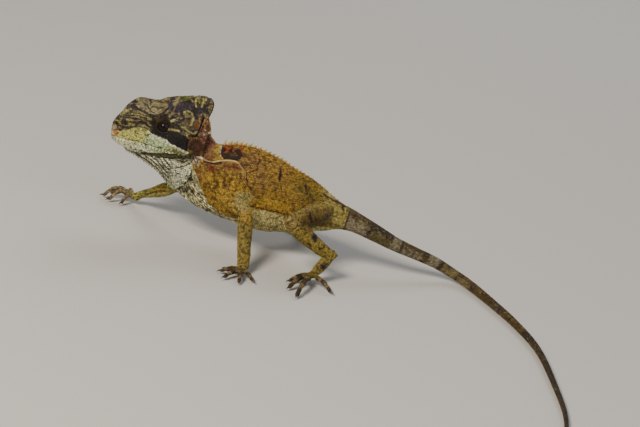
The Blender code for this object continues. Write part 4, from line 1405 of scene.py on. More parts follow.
    def fin(self) -> Array:
        """The rusty nuchal fin.

        Returns:
            Rows of linear RGB.
        """
        at, z = self.at, self.places[:, 1]
        colour = layers(
            Tint.FIN_RUST,
            (Tint.NAPE_PINK, ramp(49.5, 45.0, z)),
            (Tint.EAR_BROWN, ramp(0.1, 0.03, np.abs(cloud(at, 1.1, 51) - 0.5)) * 0.5),
            (Tint.FIN_WHITE, ramp(0.64, 0.74, cloud(at, 0.8, 52)) * ramp(44.0, 46.0, z) * 0.8),
        )
        return self.dapple(colour, 53, 0.4, 0.3)

    def crest(self) -> Array:
        """The golden crest of the back and the white fringes of nape and throat.

        Returns:
            Rows of linear RGB.
        """
        x = self.places[:, 0]
        return layers(
            Tint.CREST,
            (Tint.CREST_PALE, ramp(-20.6, -21.6, x)),
            (Tint.FIN_WHITE, ramp(-26.0, -27.5, x)),
            (Tint.THROAT_WHITE, ramp(-35.0, -37.0, x)),
        )


@dataclass
class Paint:
    """Works out the colour of any place on the skin or the coat."""

    skull: Skull
    spine: Spine

    def plain(self, at: Array, part: int) -> Array:
        """The colour of places that all belong to one part."""
        none = np.zeros(len(at))
        return self.colours(at, np.full(len(at), part), np.column_stack([none, none]), none)

    def colours(self, at: Array, part: Array, share: Array, station: Array) -> Array:
        """The colour of each place.

        Args:
            at: Places in mm.
            part: Their parts.
            share: Where they lie on their parts' unwraps.
            station: Their station numbers on the spine.

        Returns:
            Rows of linear RGB.
        """
        wander = np.column_stack([cloud(at, 1.3, 1), cloud(at, 1.3, 2)]) - 0.5
        rows = (at, at[:, [0, 2]] + wander * 0.8, share, station)
        colour = np.zeros((len(at), 3))
        for kind in Part:
            chosen = part == kind
            if chosen.any():
                look = Look(self.skull, self.spine, *(values[chosen] for values in rows))
                colour[chosen] = getattr(look, kind.name.lower())()
        return np.clip(colour, 0.0, 1.0)


def add_node(tree: bpy.types.NodeTree, kind: str, feed: dict | None = None, stops: tuple = (),
             **settings) -> bpy.types.Node:
    """Adds a node with its settings, and its inputs as values or links.

    Args:
        tree: The tree that it joins.
        kind: Blender's name of the node's type.
        feed: What each input gets: a value, an output, or a node for its first output.
        stops: A colour ramp's places and sRGB colours.
        **settings: The node's own properties.

    Returns:
        The node.
    """
    node = tree.nodes.new(kind)
    for name, value in settings.items():
        setattr(node, name, value)
    for name, value in (feed or {}).items():
        open_inputs = (s for s in node.inputs if s.enabled and s.name == name)
        socket = node.inputs[name] if isinstance(name, int) else next(open_inputs)
        if isinstance(value, bpy.types.Node):
            value = next(s for s in value.outputs if s.enabled)
        if isinstance(value, bpy.types.NodeSocket):
            tree.links.new(value, socket)
        else:
            socket.default_value = value
    if stops:
        points = node.color_ramp.elements
        points[0].position, points[-1].position = stops[0][0], stops[-1][0]
        for spot, _ in stops[1:-1]:
            points.new(spot)
        for point, (_, tint) in zip(points, stops):
            point.color = (*linear(tint), 1)
    return node


@dataclass(frozen=True)
class Finish:
    """A procedural material, of which each kind wires its own shader."""

    name: str

    def build(self) -> bpy.types.Material:
        """Makes the material from its nodes.

        Returns:
            The material.
        """
        made = bpy.data.materials.new(self.name)
        made.use_nodes = True
        made.node_tree.nodes.clear()
        add_node(made.node_tree, "ShaderNodeOutputMaterial", {"Surface": self.shader(made.node_tree)})
        return made

    def shader(self, tree: bpy.types.NodeTree) -> bpy.types.Node:
        """Wires the nodes of the tree, and gives the last."""
        raise NotImplementedError


@dataclass(frozen=True)
class SkinFinish(Finish):
    """Dry reptile skin: keratin that gives a soft, broken sheen, with fine pores and creases."""

    roughness: tuple[float, float] = (0.5, 0.72)
    mottle: float = 0.5  # how wide its paler and darker spots are, mm
    grain: float = 0.12  # the creases' spacing, mm
    depth: float = 0.035  # and how deep they look, mm
    shade: float = 1.0  # how bright the markings are
    # With reach, each scale gets painted shade at its root and painted light at its tip.
    reach: bool = False  # darkens a scale's root and lightens its tip

    def shader(self, tree: bpy.types.NodeTree) -> bpy.types.Node:
        """Wires the nodes of the tree, and gives the last.

        Args:
            tree: The material's tree.

        Returns:
            The last node.
        """
        marking = add_node(tree, "ShaderNodeAttribute", attribute_name="marking")
        place = add_node(tree, "ShaderNodeTexCoord").outputs["Object"]
        spots = {"Vector": place, "Scale": 1 / (self.mottle * MM), "Detail": 3.0}
        middle = {"Value": add_node(tree, "ShaderNodeTexNoise", spots), "From Min": 0.3, "From Max": 0.7}
        factor = add_node(tree, "ShaderNodeMapRange",
                          {**middle, "To Min": 0.84 * self.shade, "To Max": 1.14 * self.shade})
        # painted shade at the scale's root, rising to painted light at its tip
        if self.reach:
            tip = add_node(tree, "ShaderNodeAttribute", attribute_name="reach").outputs["Fac"]
            light = add_node(tree, "ShaderNodeMapRange", {"Value": tip, "To Min": 0.5, "To Max": 1.25})
            factor = add_node(tree, "ShaderNodeMath", {0: factor, 1: light}, operation="MULTIPLY")
        shaded = add_node(tree, "ShaderNodeVectorMath", {0: marking, "Scale": factor}, operation="SCALE")
        creases = add_node(tree, "ShaderNodeTexVoronoi", {"Vector": place, "Scale": 1 / (self.grain * MM)},
                           feature="DISTANCE_TO_EDGE")
        sunk = {"Height": creases, "Strength": 0.5, "Distance": self.depth * MM}
        low, high = self.roughness
        return add_node(tree, "ShaderNodeBsdfPrincipled", {
            "Base Color": shaded,
            "Roughness": add_node(tree, "ShaderNodeMapRange", {**middle, "To Min": low, "To Max": high}),
            "Normal": add_node(tree, "ShaderNodeBump", sunk),
            "IOR": 1.5,
            "Specular IOR Level": 0.35,
        })


@dataclass(frozen=True)
class EyeFinish(Finish):
    """A wet eye: a black pupil in a dark brown iris under a clear, curved cornea."""

    name: str = "wet_dark_eye"
    pupil: str = "#050306"
    iris: str = "#2a180c"
    rim: str = "#0c0806"
    fibre: float = 0.25  # how wide the iris's fibres are, mm

    def shader(self, tree: bpy.types.NodeTree) -> bpy.types.Node:
        """Wires the nodes of the tree, and gives the last.

        Args:
            tree: The material's tree.

        Returns:
            The last node.
        """
        ring = add_node(tree, "ShaderNodeAttribute", attribute_name="ring").outputs["Fac"]
        place = add_node(tree, "ShaderNodeTexCoord").outputs["Object"]
        spread = {"Vector": place, "Scale": 1 / (self.fibre * MM), "Detail": 4.0}
        fibres = add_node(tree, "ShaderNodeTexNoise", spread)
        moved = add_node(tree, "ShaderNodeMath", {0: fibres, 1: 0.12, 2: ring}, operation="MULTIPLY_ADD")
        stops = ((0.0, self.pupil), (0.4, self.pupil), (0.44, self.iris), (0.72, self.iris),
                 (0.86, self.rim), (1.0, self.rim))
        return add_node(tree, "ShaderNodeBsdfPrincipled", {
            "Base Color": add_node(tree, "ShaderNodeValToRGB", {"Fac": moved}, stops),
            "Roughness": 0.3, "IOR": 1.38, "Specular IOR Level": 0.2,
            "Coat Weight": 0.4, "Coat Roughness": 0.02, "Coat IOR": 1.38,
        })


@dataclass(frozen=True)
class HornFinish(Finish):
    """Claw horn: smooth keratin, brown at its root and nearly black along its top, with fine streaks."""

    name: str = "dark_claw_horn"
    root: str = "#6e5836"
    tip: str = "#231a12"
    streak: float = 0.3  # how wide its streaks are, mm

    def shader(self, tree: bpy.types.NodeTree) -> bpy.types.Node:
        """Wires the nodes of the tree, and gives the last.

        Args:
            tree: The material's tree.

        Returns:
            The last node.
        """
        reach = add_node(tree, "ShaderNodeAttribute", attribute_name="reach").outputs["Fac"]
        place = add_node(tree, "ShaderNodeTexCoord").outputs["Object"]
        spread = {"Vector": place, "Scale": 1 / (self.streak * MM), "Detail": 3.0}
        streaks = add_node(tree, "ShaderNodeTexNoise", spread)
        moved = add_node(tree, "ShaderNodeMath", {0: streaks, 1: 0.35, 2: reach}, operation="MULTIPLY_ADD")
        stops = ((0.15, self.root), (0.8, self.tip))
        rough = {"Value": streaks, "To Min": 0.24, "To Max": 0.42}
        sunk = {"Height": streaks, "Strength": 0.3, "Distance": 0.03 * MM}
        return add_node(tree, "ShaderNodeBsdfPrincipled", {
            "Base Color": add_node(tree, "ShaderNodeValToRGB", {"Fac": moved}, stops),
            "Roughness": add_node(tree, "ShaderNodeMapRange", rough),
            "Normal": add_node(tree, "ShaderNodeBump", sunk),
            "IOR": 1.55,
        })


def new_object(name: str, data: bpy.types.ID) -> bpy.types.Object:
    """Links a new object to the scene.

    Args:
        name: Its name.
        data: Its mesh, light or camera.

    Returns:
        The object.
    """
    made = bpy.data.objects.new(name, data)
    bpy.context.scene.collection.objects.link(made)
    return made


def modify(made: bpy.types.Object, kind: str, **settings) -> bpy.types.Modifier:
    """Adds a modifier with its settings.

    Args:
        made: The object.
        kind: Blender's name of the modifier's type.
        **settings: The modifier's own properties.

    Returns:
        The modifier.
    """
    change = made.modifiers.new(kind.lower(), kind)
    for name, value in settings.items():
        setattr(change, name, value)
    return change


def outward(mesh: bpy.types.Mesh) -> bpy.types.Mesh:
    """Turns a mesh's faces outwards.

    Args:
        mesh: A closed mesh.

    Returns:
        The same mesh.
    """
    shape = bmesh.new()
    shape.from_mesh(mesh)
    bmesh.ops.recalc_face_normals(shape, faces=shape.faces)
    shape.to_mesh(mesh)
    shape.free()
    return mesh


def mesh_of(name: str, forms: Sequence[Form], frame: Frame | None = None) -> bpy.types.Mesh:
    """One mesh of several closed forms, in mm, or in the model's metres if a frame is given.

    Args:
        name: The mesh's name.
        forms: The forms.
        frame: What moves them to the model.

    Returns:
        The mesh, with its faces pointing outwards.
    """
    points, faces = [], []
    for form in forms:
        found, made = form.faces(sum(map(len, points)))
        points.append(found)
        faces += made
    places = np.concatenate(points)
    mesh = bpy.data.meshes.new(name)
    mesh.from_pydata(frame.metres(places) if frame else places, [], faces)
    return outward(mesh)


def read_rows(data: bpy.types.bpy_prop_collection, key: str = "co") -> Array:
    """Rows of a mesh's points, or of its normals.

    Args:
        data: The points or the normals.
        key: "co" for points, "vector" for normals.

    Returns:
        One row of three numbers for each.
    """
    flat = np.empty(len(data) * 3, np.float32)
    data.foreach_get(key, flat)
    return flat.reshape(-1, 3).astype(float)


def write_points(mesh: bpy.types.Mesh, points: Array) -> None:
    """Moves a mesh's points."""
    mesh.vertices.foreach_set("co", np.ascontiguousarray(points, float).ravel())
    mesh.update()


def write_attribute(mesh: bpy.types.Mesh, name: str, kind: str, values: Array) -> None:
    """Stores one value for each point.

    Args:
        mesh: The mesh.
        name: The attribute's name.
        kind: FLOAT, FLOAT_VECTOR or FLOAT_COLOR.
        values: The values, three for a vector or colour.
    """
    layer = mesh.attributes.new(name, kind, "POINT")
    if kind == "FLOAT_COLOR":
        values = np.column_stack([values, np.ones(len(values))])
    field_name = {"FLOAT": "value", "FLOAT_VECTOR": "vector", "FLOAT_COLOR": "color"}[kind]
    layer.data.foreach_set(field_name, np.ascontiguousarray(values, np.float32).ravel())


def applied(made: bpy.types.Object) -> bpy.types.Object:
    """Applies an object's modifiers.

    Args:
        made: The object.

    Returns:
        The same object.
    """
    graph = bpy.context.evaluated_depsgraph_get()
    mesh = bpy.data.meshes.new_from_object(made.evaluated_get(graph))
    made.modifiers.clear()
    made.data = mesh
    return made


def smoothed(points: Array, edges: Array, pulls: Sequence[float], weight: Array | float = 1.0) -> Array:
    """Pulls points towards the middle of their neighbours.

    Args:
        points: The mesh's points.
        edges: Pairs of point numbers.
        pulls: How strongly, once for each round, where a number below zero pushes them back.
        weight: How much of it each point takes.

    Returns:
        The new points.
    """
    count = len(points)
    ends, others = np.concatenate([edges, edges[:, ::-1]]).T
    degree = np.maximum(np.bincount(ends, minlength=count), 1)[:, None]
    for pull in pulls:
        near = np.column_stack([np.bincount(ends, points[others, k], count) for k in range(3)])
        points = points + weight * pull * (near / degree - points)
    return points


@dataclass
class Skin:
    """The one skin over all the flesh, with its folds, grooves and hollows."""

    skull: Skull
    spine: Spine
    paint: Paint
    frame: Frame
    tree: BVHTree | None = None

    def flesh(self) -> list[Form]:
        """All the forms that the skin covers.

        Returns:
            The forms.
        """
        skull = self.skull
        forms = [
            skull.head_form(skull.head, 49),
            skull.head_form(skull.ear_block, 33),
            skull.blade_form(),
            skull.jaw_form(skull.jaw, Part.JAW),
            skull.jaw_form(skull.throat, Part.THROAT),
            skull.fin_form(),
            self.spine.form(Part.TRUNK, 0.0, 24.0, 72),
        ]
        share = np.linspace(0, 4, 25)
        turn = np.linspace(0, 2 * math.pi, 49)[:-1]
        tilt = math.radians(10)
        ring = np.column_stack([np.cos(turn) * 1.24, -np.sin(turn) * math.sin(tilt), np.sin(turn) * 0.92])
        lid = skull.lid_middle() + ring * skull.lid_ring
        lid = np.concatenate([lid, lid[:2]])
        for side in (-1, 1):
            sign = np.array((1, side, 1))
            thick = np.interp(share, range(5), skull.temple_thick)
            forms += [
                sweep(Part.HEAD, curve_through(skull.temple_ridge, share) * sign, thick, 16),
                sweep(Part.HEAD, lid * sign, np.full(len(lid), skull.lid_thick), 14),
                ball_form(Part.HEAD, np.array((-41.0, 5.6, 40.6)) * sign, (5.2, 3.4), (1, 0.02 * side, 0.08)),
            ]
        for limb in LIMBS:
            root, joint = np.array(limb.root), np.array(limb.joint)
            swell = 3.3 if limb.part is Part.ARM else 4.2
            muscle = ball_form(limb.part, root + (joint - root) * 0.36, (7.4, swell), joint - root)
            forms += [*limb.forms(), limb.palm_form(), *limb.digit_forms(), muscle]
        return forms

    def carve(self, at: Array, normals: Array, part: Array) -> Array:
        """How far each point of the skin moves out, for its folds, grooves and wrinkles.

        Args:
            at: The skin's points.
            normals: Their normals.
            part: Their parts.

        Returns:
            A distance in mm for each.
        """
        x, y, z = at.T
        places = at[:, [0, 2]]
        is_head, is_jaw, on_throat = (part == kind for kind in (Part.HEAD, Part.JAW, Part.THROAT))
        on_head = is_head | is_jaw
        on_trunk = (part == Part.TRUNK) & (np.abs(y) < 10.5)
        mouth = np.abs(z - self.skull.mouth_height(x))
        lips = 0.16 * np.exp(-(((mouth - 0.8) / 0.5) ** 2)) - 0.55 * np.exp(-((mouth / 0.24) ** 2))
        move = on_head * ramp(-36.4, -38.0, x) * lips
        move += ramp(0.15, 0.5, np.abs(normals[:, 1])) * (
            on_trunk * relief((*FOLDS, FLANK_FOLD_SHADOW, *BODY_MARKS), places)
            + (on_head | on_trunk) * relief((*HEAD_MARKS, *NECK_MARKS, FIN_GAP_SHADE), places)
            + (on_throat | is_jaw) * relief((*POUCH_FOLDS, *JAW_SHADOW_AND_LINES), places)
        )
        move += (on_trunk | on_throat) * relief((SHADED_CREASE,), places)
        away = mirrored(at) - self.skull.lid_middle()
        ring = np.hypot(away[:, 0] * 0.9, away[:, 2])
        near_eye = (ring < 6.2) & (np.abs(away[:, 1]) < 4) & on_head
        wrinkle = 0.16 * np.cos(2 * math.pi * (ring - self.skull.lid_ring) / 0.95)
        move += near_eye * wrinkle * ramp(5.6, 3.2, ring) * ramp(2.2, 2.8, ring)
        rugged = (cloud(at, 2.2, 61) - 0.5) * 0.45 + (cloud(at, 0.95, 62) - 0.5) * 0.22
        move += is_head * (0.25 + 0.75 * ramp(44.0, 47.0, z)) * rugged * ramp(2.4, 4.2, ring)
        move += on_trunk * ((cloud(at, 3.2, 63) - 0.5) * 0.5 + (cloud(at, 1.2, 64) - 0.5) * 0.12)
        for kind, drawn in ((Part.ARM, ARM_MARKS), (Part.LEG, LEG_MARKS)):
            move += (part == kind) * ((cloud(at, 2.2, 65) - 0.5) * 0.3 + relief(drawn, places))
        return move

    @staticmethod
    def melting(points: Array) -> Array:
        """How softly each point melts into the next, where the limbs meet the trunk and at their joints.

        Args:
            points: Places in mm.

        Returns:
            A share for each, as a column.
        """
        weight = np.zeros(len(points))
        for limb in LIMBS:
            root, joint = np.array(limb.root), np.array(limb.joint)
            spots = ((root + (joint - root) * 0.3, 8.0, 0.55), (joint, 4.0, 0.3),
                     (limb.wrist, 3.2, 0.3), (limb.palm, 3.4, 0.25))
            for middle, reach, strength in (*spots, *NECK_MELTS):
                far = np.linalg.norm(points - middle, axis=1)
                weight = np.maximum(weight, ramp(reach, reach * 0.45, far) * strength)
        return weight[:, None]

    def hollows(self) -> list[Form]:
        """The sockets, ear hollows and nostrils that are cut into the skin.

        Returns:
            A form for each.
        """
        skull = self.skull
        radius = skull.eye_radius + 0.06
        turn = math.radians(skull.ear_turn)
        found = []
        for side in (-1, 1):
            eye, nostril, ear = np.multiply((skull.eye_at, skull.nostril_at, skull.ear_at), (1, side, 1))
            facing = np.array((math.sin(turn), side * math.cos(turn), 0.0))
            path = ear + facing * np.array([-1.0, -0.98, -0.9, 0.0, 2.0])[:, None] * skull.ear_deep
            found += [
                ball_form(Part.HEAD, eye, (radius, radius), (0, 1, 0)),
                ball_form(Part.HEAD, nostril, (0.85, skull.nostril_radius), (-0.5, side, 0.3)),
                sweep(Part.HEAD, path, skull.ear_radius * np.array([0.6, 0.86, 0.97, 1.02, 1.2]), 40),
            ]
        return found

    def build(self, guide: Roots) -> bpy.types.Object:
        """Draws the skin over the flesh.

        Args:
            guide: Roots all over the body, which tell each point's part.

        Returns:
            The skin.
        """
        made = new_object("skin", mesh_of("skin", self.flesh()))
        modify(made, "REMESH", mode="VOXEL", voxel_size=VOXEL, adaptivity=0.0)
        mesh = applied(made).data
        edges = np.empty(len(mesh.edges) * 2, dtype=np.int64)
        mesh.edges.foreach_get("vertices", edges)
        edges = edges.reshape(-1, 2)
        points = smoothed(read_rows(mesh.vertices), edges, [0.6, -0.62] * 7)
        points = smoothed(points, edges, [1.0] * 30, self.melting(points))
        write_points(mesh, points)
        normals = read_rows(mesh.vertex_normals, "vector")
        points += normals * self.carve(points, normals, guide.part[nearest(guide.at, points)])[:, None]
        points = smoothed(points, edges, (0.6, -0.62))
        points[:, 2] = np.maximum(points[:, 2], 0.02)
        write_points(mesh, points)
        cutter = new_object("hollows", mesh_of("hollows", self.hollows()))
        modify(made, "BOOLEAN", operation="DIFFERENCE", solver="MANIFOLD", object=cutter)
        modify(made, "DECIMATE", ratio=min(1.0, SKIN_TRIANGLES / (2 * len(mesh.polygons))))
        mesh = applied(made).data
        bpy.data.objects.remove(cutter)
        points = read_rows(mesh.vertices)
        near = nearest(guide.at, points)
        colour = self.paint.colours(points, guide.part[near], guide.share[near], guide.station[near])
        # The skin that shows between the scales is painted darker than their markings, as painted shade
        # between the scales; less so on the head.
        on_head = (guide.part[near] == Part.HEAD)[:, None]
        between = np.where(on_head, colour * 0.6, colour * (0.42, 0.34, 0.27))
        write_attribute(mesh, "marking", "FLOAT_COLOR", between)
        self.tree = BVHTree.FromPolygons(points.tolist(), [tuple(p.vertices) for p in mesh.polygons])
        write_points(mesh, self.frame.metres(points))
        mesh.shade_smooth()
        mesh.materials.clear()
        mesh.materials.append(SkinFinish("keratin_skin").build())
        LOG.info("skin: %d triangles", sum(len(p.vertices) - 2 for p in mesh.polygons))
        return made

    def flank(self, line: Array, side: int) -> Array:
        """Carries a line seen from the side onto the skin.

        Args:
            line: Its (x, z) places.
            side: -1 for the left, 1 for the right.

        Returns:
            Places on the skin.
        """
        found = []
        for x, z in line.tolist():
            spot, normal, _, _ = self.tree.ray_cast((x, side * 30.0, z), (0, -side, 0))
            if spot:
                found.append(np.array(spot) + np.array(normal) * 0.05)
        places = np.array(found)
        padded = np.pad(places[:, 1], 3, "edge")
        places[:, 1] = np.convolve(padded, np.ones(7) / 7, "valid")
        return places

    def seat(self, roots: Roots, slack: float = 0.9) -> Roots:
        """Moves roots onto the skin, and drops those that are buried in another part.

        Args:
            roots: The roots.
            slack: How far a root may lie from the skin, in mm.

        Returns:
            The seated roots, with the skin's normals.
        """
        places, normals, keep = [], [], []
        for i, at in enumerate(roots.at.tolist()):
            spot, normal, _, far = self.tree.find_nearest(at)
            if far < slack:
                places.append(spot[:])
                normals.append(normal[:])
                keep.append(i)
        seated = roots.where(np.array(keep, int))
        seated.at = np.array(places)
        seated.out = unit(np.array(normals))
        seated.along = unit(seated.along - seated.out * (seated.along * seated.out).sum(axis=1)[:, None])
        return seated


def nearest(known: Array, asked: Array) -> Array:
    """The number of the known place nearest to each asked place.

    Args:
        known: The known places.
        asked: The asked ones.

    Returns:
        One number for each asked place.
    """
    tree = kdtree.KDTree(len(known))
    for i, place in enumerate(known.tolist()):
        tree.insert(place, i)
    tree.balance()
    return np.array([tree.find(place)[1] for place in asked.tolist()])


def spaced(roots: Roots, gap: float) -> Roots:
    """Drops each root that crowds one kept before it.

    Args:
        roots: The roots, the ones to prefer first.
        gap: The least distance, in scale widths.

    Returns:
        The roots that stay.
    """
    cell = 1.2
    grid: dict[tuple[int, ...], list[int]] = {}
    keep = []
    places, widths = roots.at.tolist(), roots.wide.tolist()
    for i, (place, wide) in enumerate(zip(places, widths)):
        home = tuple(math.floor(c / cell) for c in place)
        cells = itertools.product(*((c - 1, c, c + 1) for c in home))
        near = (j for cell_at in cells for j in grid.get(cell_at, ()))
        if not any(math.dist(place, places[j]) < gap * (wide + widths[j]) / 2 for j in near):
            grid.setdefault(home, []).append(i)
            keep.append(i)
    return roots.where(np.array(keep, int))


def add_piece(name: str, mesh: bpy.types.Mesh, finish: bpy.types.Material | None = None,
              nodes: Sequence[str] = ()) -> None:
    """Adds a piece that rides with the model's root.

    Args:
        name: The piece's name.
        mesh: Its mesh.
        finish: Its material, for a mesh that has none yet and is smooth.
        nodes: The nodes that it stands for.
    """
    if finish:
        mesh.shade_smooth()
        mesh.materials.append(finish)
    made = new_object(name, mesh)
    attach(made, ROOT)
    if nodes:
        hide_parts(*nodes)
    LOG.info("%s: %d triangles", name, sum(len(p.vertices) - 2 for p in mesh.polygons))


class ScaleShape(Enum):
    """The kinds of scale, each a small closed solid."""

    KEELED = "keeled"
    PLATE = "plate"
    SPINE = "spine"

    def mesh(self) -> bpy.types.Mesh:
        """The kind's solid, one unit wide and long, that points along +Y with its root at the origin.

        Returns:
            The mesh.
        """
        if self is ScaleShape.SPINE:
            return self.spine_mesh()
        if self is ScaleShape.PLATE:
            return self.plate_mesh()
        points = table("""
            -0.36 -0.42 0 0
            0.36 -0.42 0 0
            0.53 0.06 0.1 0.6
            0 0.74 0.42 1
            -0.53 0.06 0.1 0.6
            0 -0.42 0.35 0.25
            0 0.12 0.95 1
            0 0.05 -0.6 0.2
        """)
        faces = [(0, 5, 6, 4), (5, 1, 2, 6), (4, 6, 3), (6, 2, 3)]
        faces += [(5, 0, 7), (1, 5, 7), (2, 1, 7), (3, 2, 7), (4, 3, 7), (0, 4, 7)]
        return self.solid(points, faces)

    def plate_mesh(self) -> bpy.types.Mesh:
        """A six-sided, softly domed plate.

        Returns:
            The mesh.
        """
        turn = np.arange(6) * math.pi / 3 + math.pi / 6
        outer = [(0.56 * math.cos(a), 0.56 * math.sin(a), 0.0, 0.1) for a in turn]
        inner = [(0.38 * math.cos(a), 0.38 * math.sin(a), 0.8, 0.8) for a in turn]
        points = [*outer, *inner, (0.0, 0.0, 1.0, 1.0), (0.0, 0.0, -0.8, 0.0)]
        faces = []
        for i in range(6):
            j = (i + 1) % 6
            faces += [(i, j, j + 6, i + 6), (i + 6, j + 6, 12), (j, i, 13)]
        return self.solid(points, faces)

    def spine_mesh(self) -> bpy.types.Mesh:
        """A tapered spine that curves back, thinner than it is long.

        Returns:
            The mesh.
        """
        turn = np.arange(6) * math.pi / 3
        points = [
            (size * math.cos(a), back + size * math.sin(a) * 1.1, up, max(up, 0.0))
            for up, back, size in ((-0.5, -0.12, 0.5), (0.15, 0.0, 0.45), (0.5, 0.18, 0.3), (0.8, 0.42, 0.15))
            for a in turn
        ]
        faces: list[tuple[int, ...]] = [tuple(range(5, -1, -1))]
        for i, j in ((k * 6 + i, k * 6 + (i + 1) % 6) for k in range(3) for i in range(6)):
            faces.append((i, j, j + 6, i + 6))
        faces += [(18 + i, 18 + (i + 1) % 6, 24) for i in range(6)]
        return self.solid([*points, (0.0, 0.68, 1.0, 1.0)], faces)

    def solid(self, points: Sequence[tuple[float, ...]], faces: list[tuple[int, ...]]) -> bpy.types.Mesh:
        """Makes the mesh, with each point's reach and its place on the patch.

        Args:
            points: Each point, and how far towards the tip it lies.
            faces: The faces.

        Returns:
            The mesh.
        """
        mesh = bpy.data.meshes.new(f"{self.value}_scale")
        rows = np.array(points)
        mesh.from_pydata(rows[:, :3], [], faces)
        write_attribute(mesh, "reach", "FLOAT", rows[:, 3])
        write_attribute(mesh, "patch", "FLOAT_VECTOR", rows[:, :3] * (0.45, 0.45, 0))
        return outward(mesh)


class ScaleTree:
    """The Geometry Nodes tree that sets a scale on every root and gives it its patch of the unwrap."""

    def __init__(self) -> None:
        """Builds the tree."""
        self.group = bpy.data.node_groups.new("lay_scales", "GeometryNodeTree")
        face = self.group.interface
        self.inputs: dict[str, str] = {}
        kinds = (
            ("Geometry", "NodeSocketGeometry", None),
            ("Scale Solid", "NodeSocketObject", None),
            ("Finish", "NodeSocketMaterial", None),
            ("Tilt", "NodeSocketFloat", 0.1),
            ("Tilt Spread", "NodeSocketFloat", 0.05),
            ("Spin Spread", "NodeSocketFloat", 0.1),
            ("Patch Size", "NodeSocketFloat", BAKE_PATCH),
            ("Seed", "NodeSocketInt", 3),
        )
        for name, kind, value in kinds:
            socket = face.new_socket(name, in_out="INPUT", socket_type=kind)
            if value is not None:
                socket.default_value = value
            self.inputs[name] = socket.identifier
        face.new_socket("Geometry", in_out="OUTPUT", socket_type="NodeSocketGeometry")
        self.wire()

    def wire(self) -> None:
        """Wires the nodes."""
        tree = self.group
        given = add_node(tree, "NodeGroupInput").outputs
        read = {
            name: add_node(tree, "GeometryNodeInputNamedAttribute", {"Name": name}, data_type="FLOAT_VECTOR")
            for name in ("out", "along", "size", "patch", "unwrap")
        }
        facing = add_node(tree, "FunctionNodeAxesToRotation", {0: read["out"], 1: read["along"]},
                          primary_axis="Z", secondary_axis="Y")
        limits = {0: (-1, -1, -1), 1: (1, 1, 1), "Seed": given["Seed"]}
        drawn = add_node(tree, "FunctionNodeRandomValue", limits, data_type="FLOAT_VECTOR")
        split = add_node(tree, "ShaderNodeSeparateXYZ", {"Vector": drawn}).outputs
        tilt = add_node(tree, "ShaderNodeMath", {0: split["X"], 1: given["Tilt Spread"], 2: given["Tilt"]},
                        operation="MULTIPLY_ADD")
        spin = add_node(tree, "ShaderNodeMath", {0: split["Z"], 1: given["Spin Spread"]},
                        operation="MULTIPLY")
        angles = add_node(tree, "ShaderNodeCombineXYZ", {"X": tilt, "Z": spin})
        turned = add_node(tree, "FunctionNodeRotateRotation", {"Rotation": facing, "Rotate By": angles},
                          rotation_space="LOCAL")
        solid = add_node(tree, "GeometryNodeObjectInfo", {"Object": given["Scale Solid"]}).outputs["Geometry"]
        laid_out = add_node(tree, "GeometryNodeInstanceOnPoints", {
            "Points": given["Geometry"], "Instance": solid, "Rotation": turned, "Scale": read["size"],
        })
        real = add_node(tree, "GeometryNodeRealizeInstances", {"Geometry": laid_out})
        patch = add_node(tree, "ShaderNodeVectorMath", {0: read["patch"], "Scale": given["Patch Size"]},
                         operation="SCALE")
        place = add_node(tree, "ShaderNodeVectorMath", {0: read["unwrap"], 1: patch}, operation="ADD")
        bake = {"Geometry": real, "Name": "OFBake", "Value": place}
        kept = add_node(tree, "GeometryNodeStoreNamedAttribute", bake, data_type="FLOAT2", domain="CORNER")
        dressed = add_node(tree, "GeometryNodeSetMaterial", {"Geometry": kept, "Material": given["Finish"]})
        add_node(tree, "NodeGroupOutput", {"Geometry": dressed})


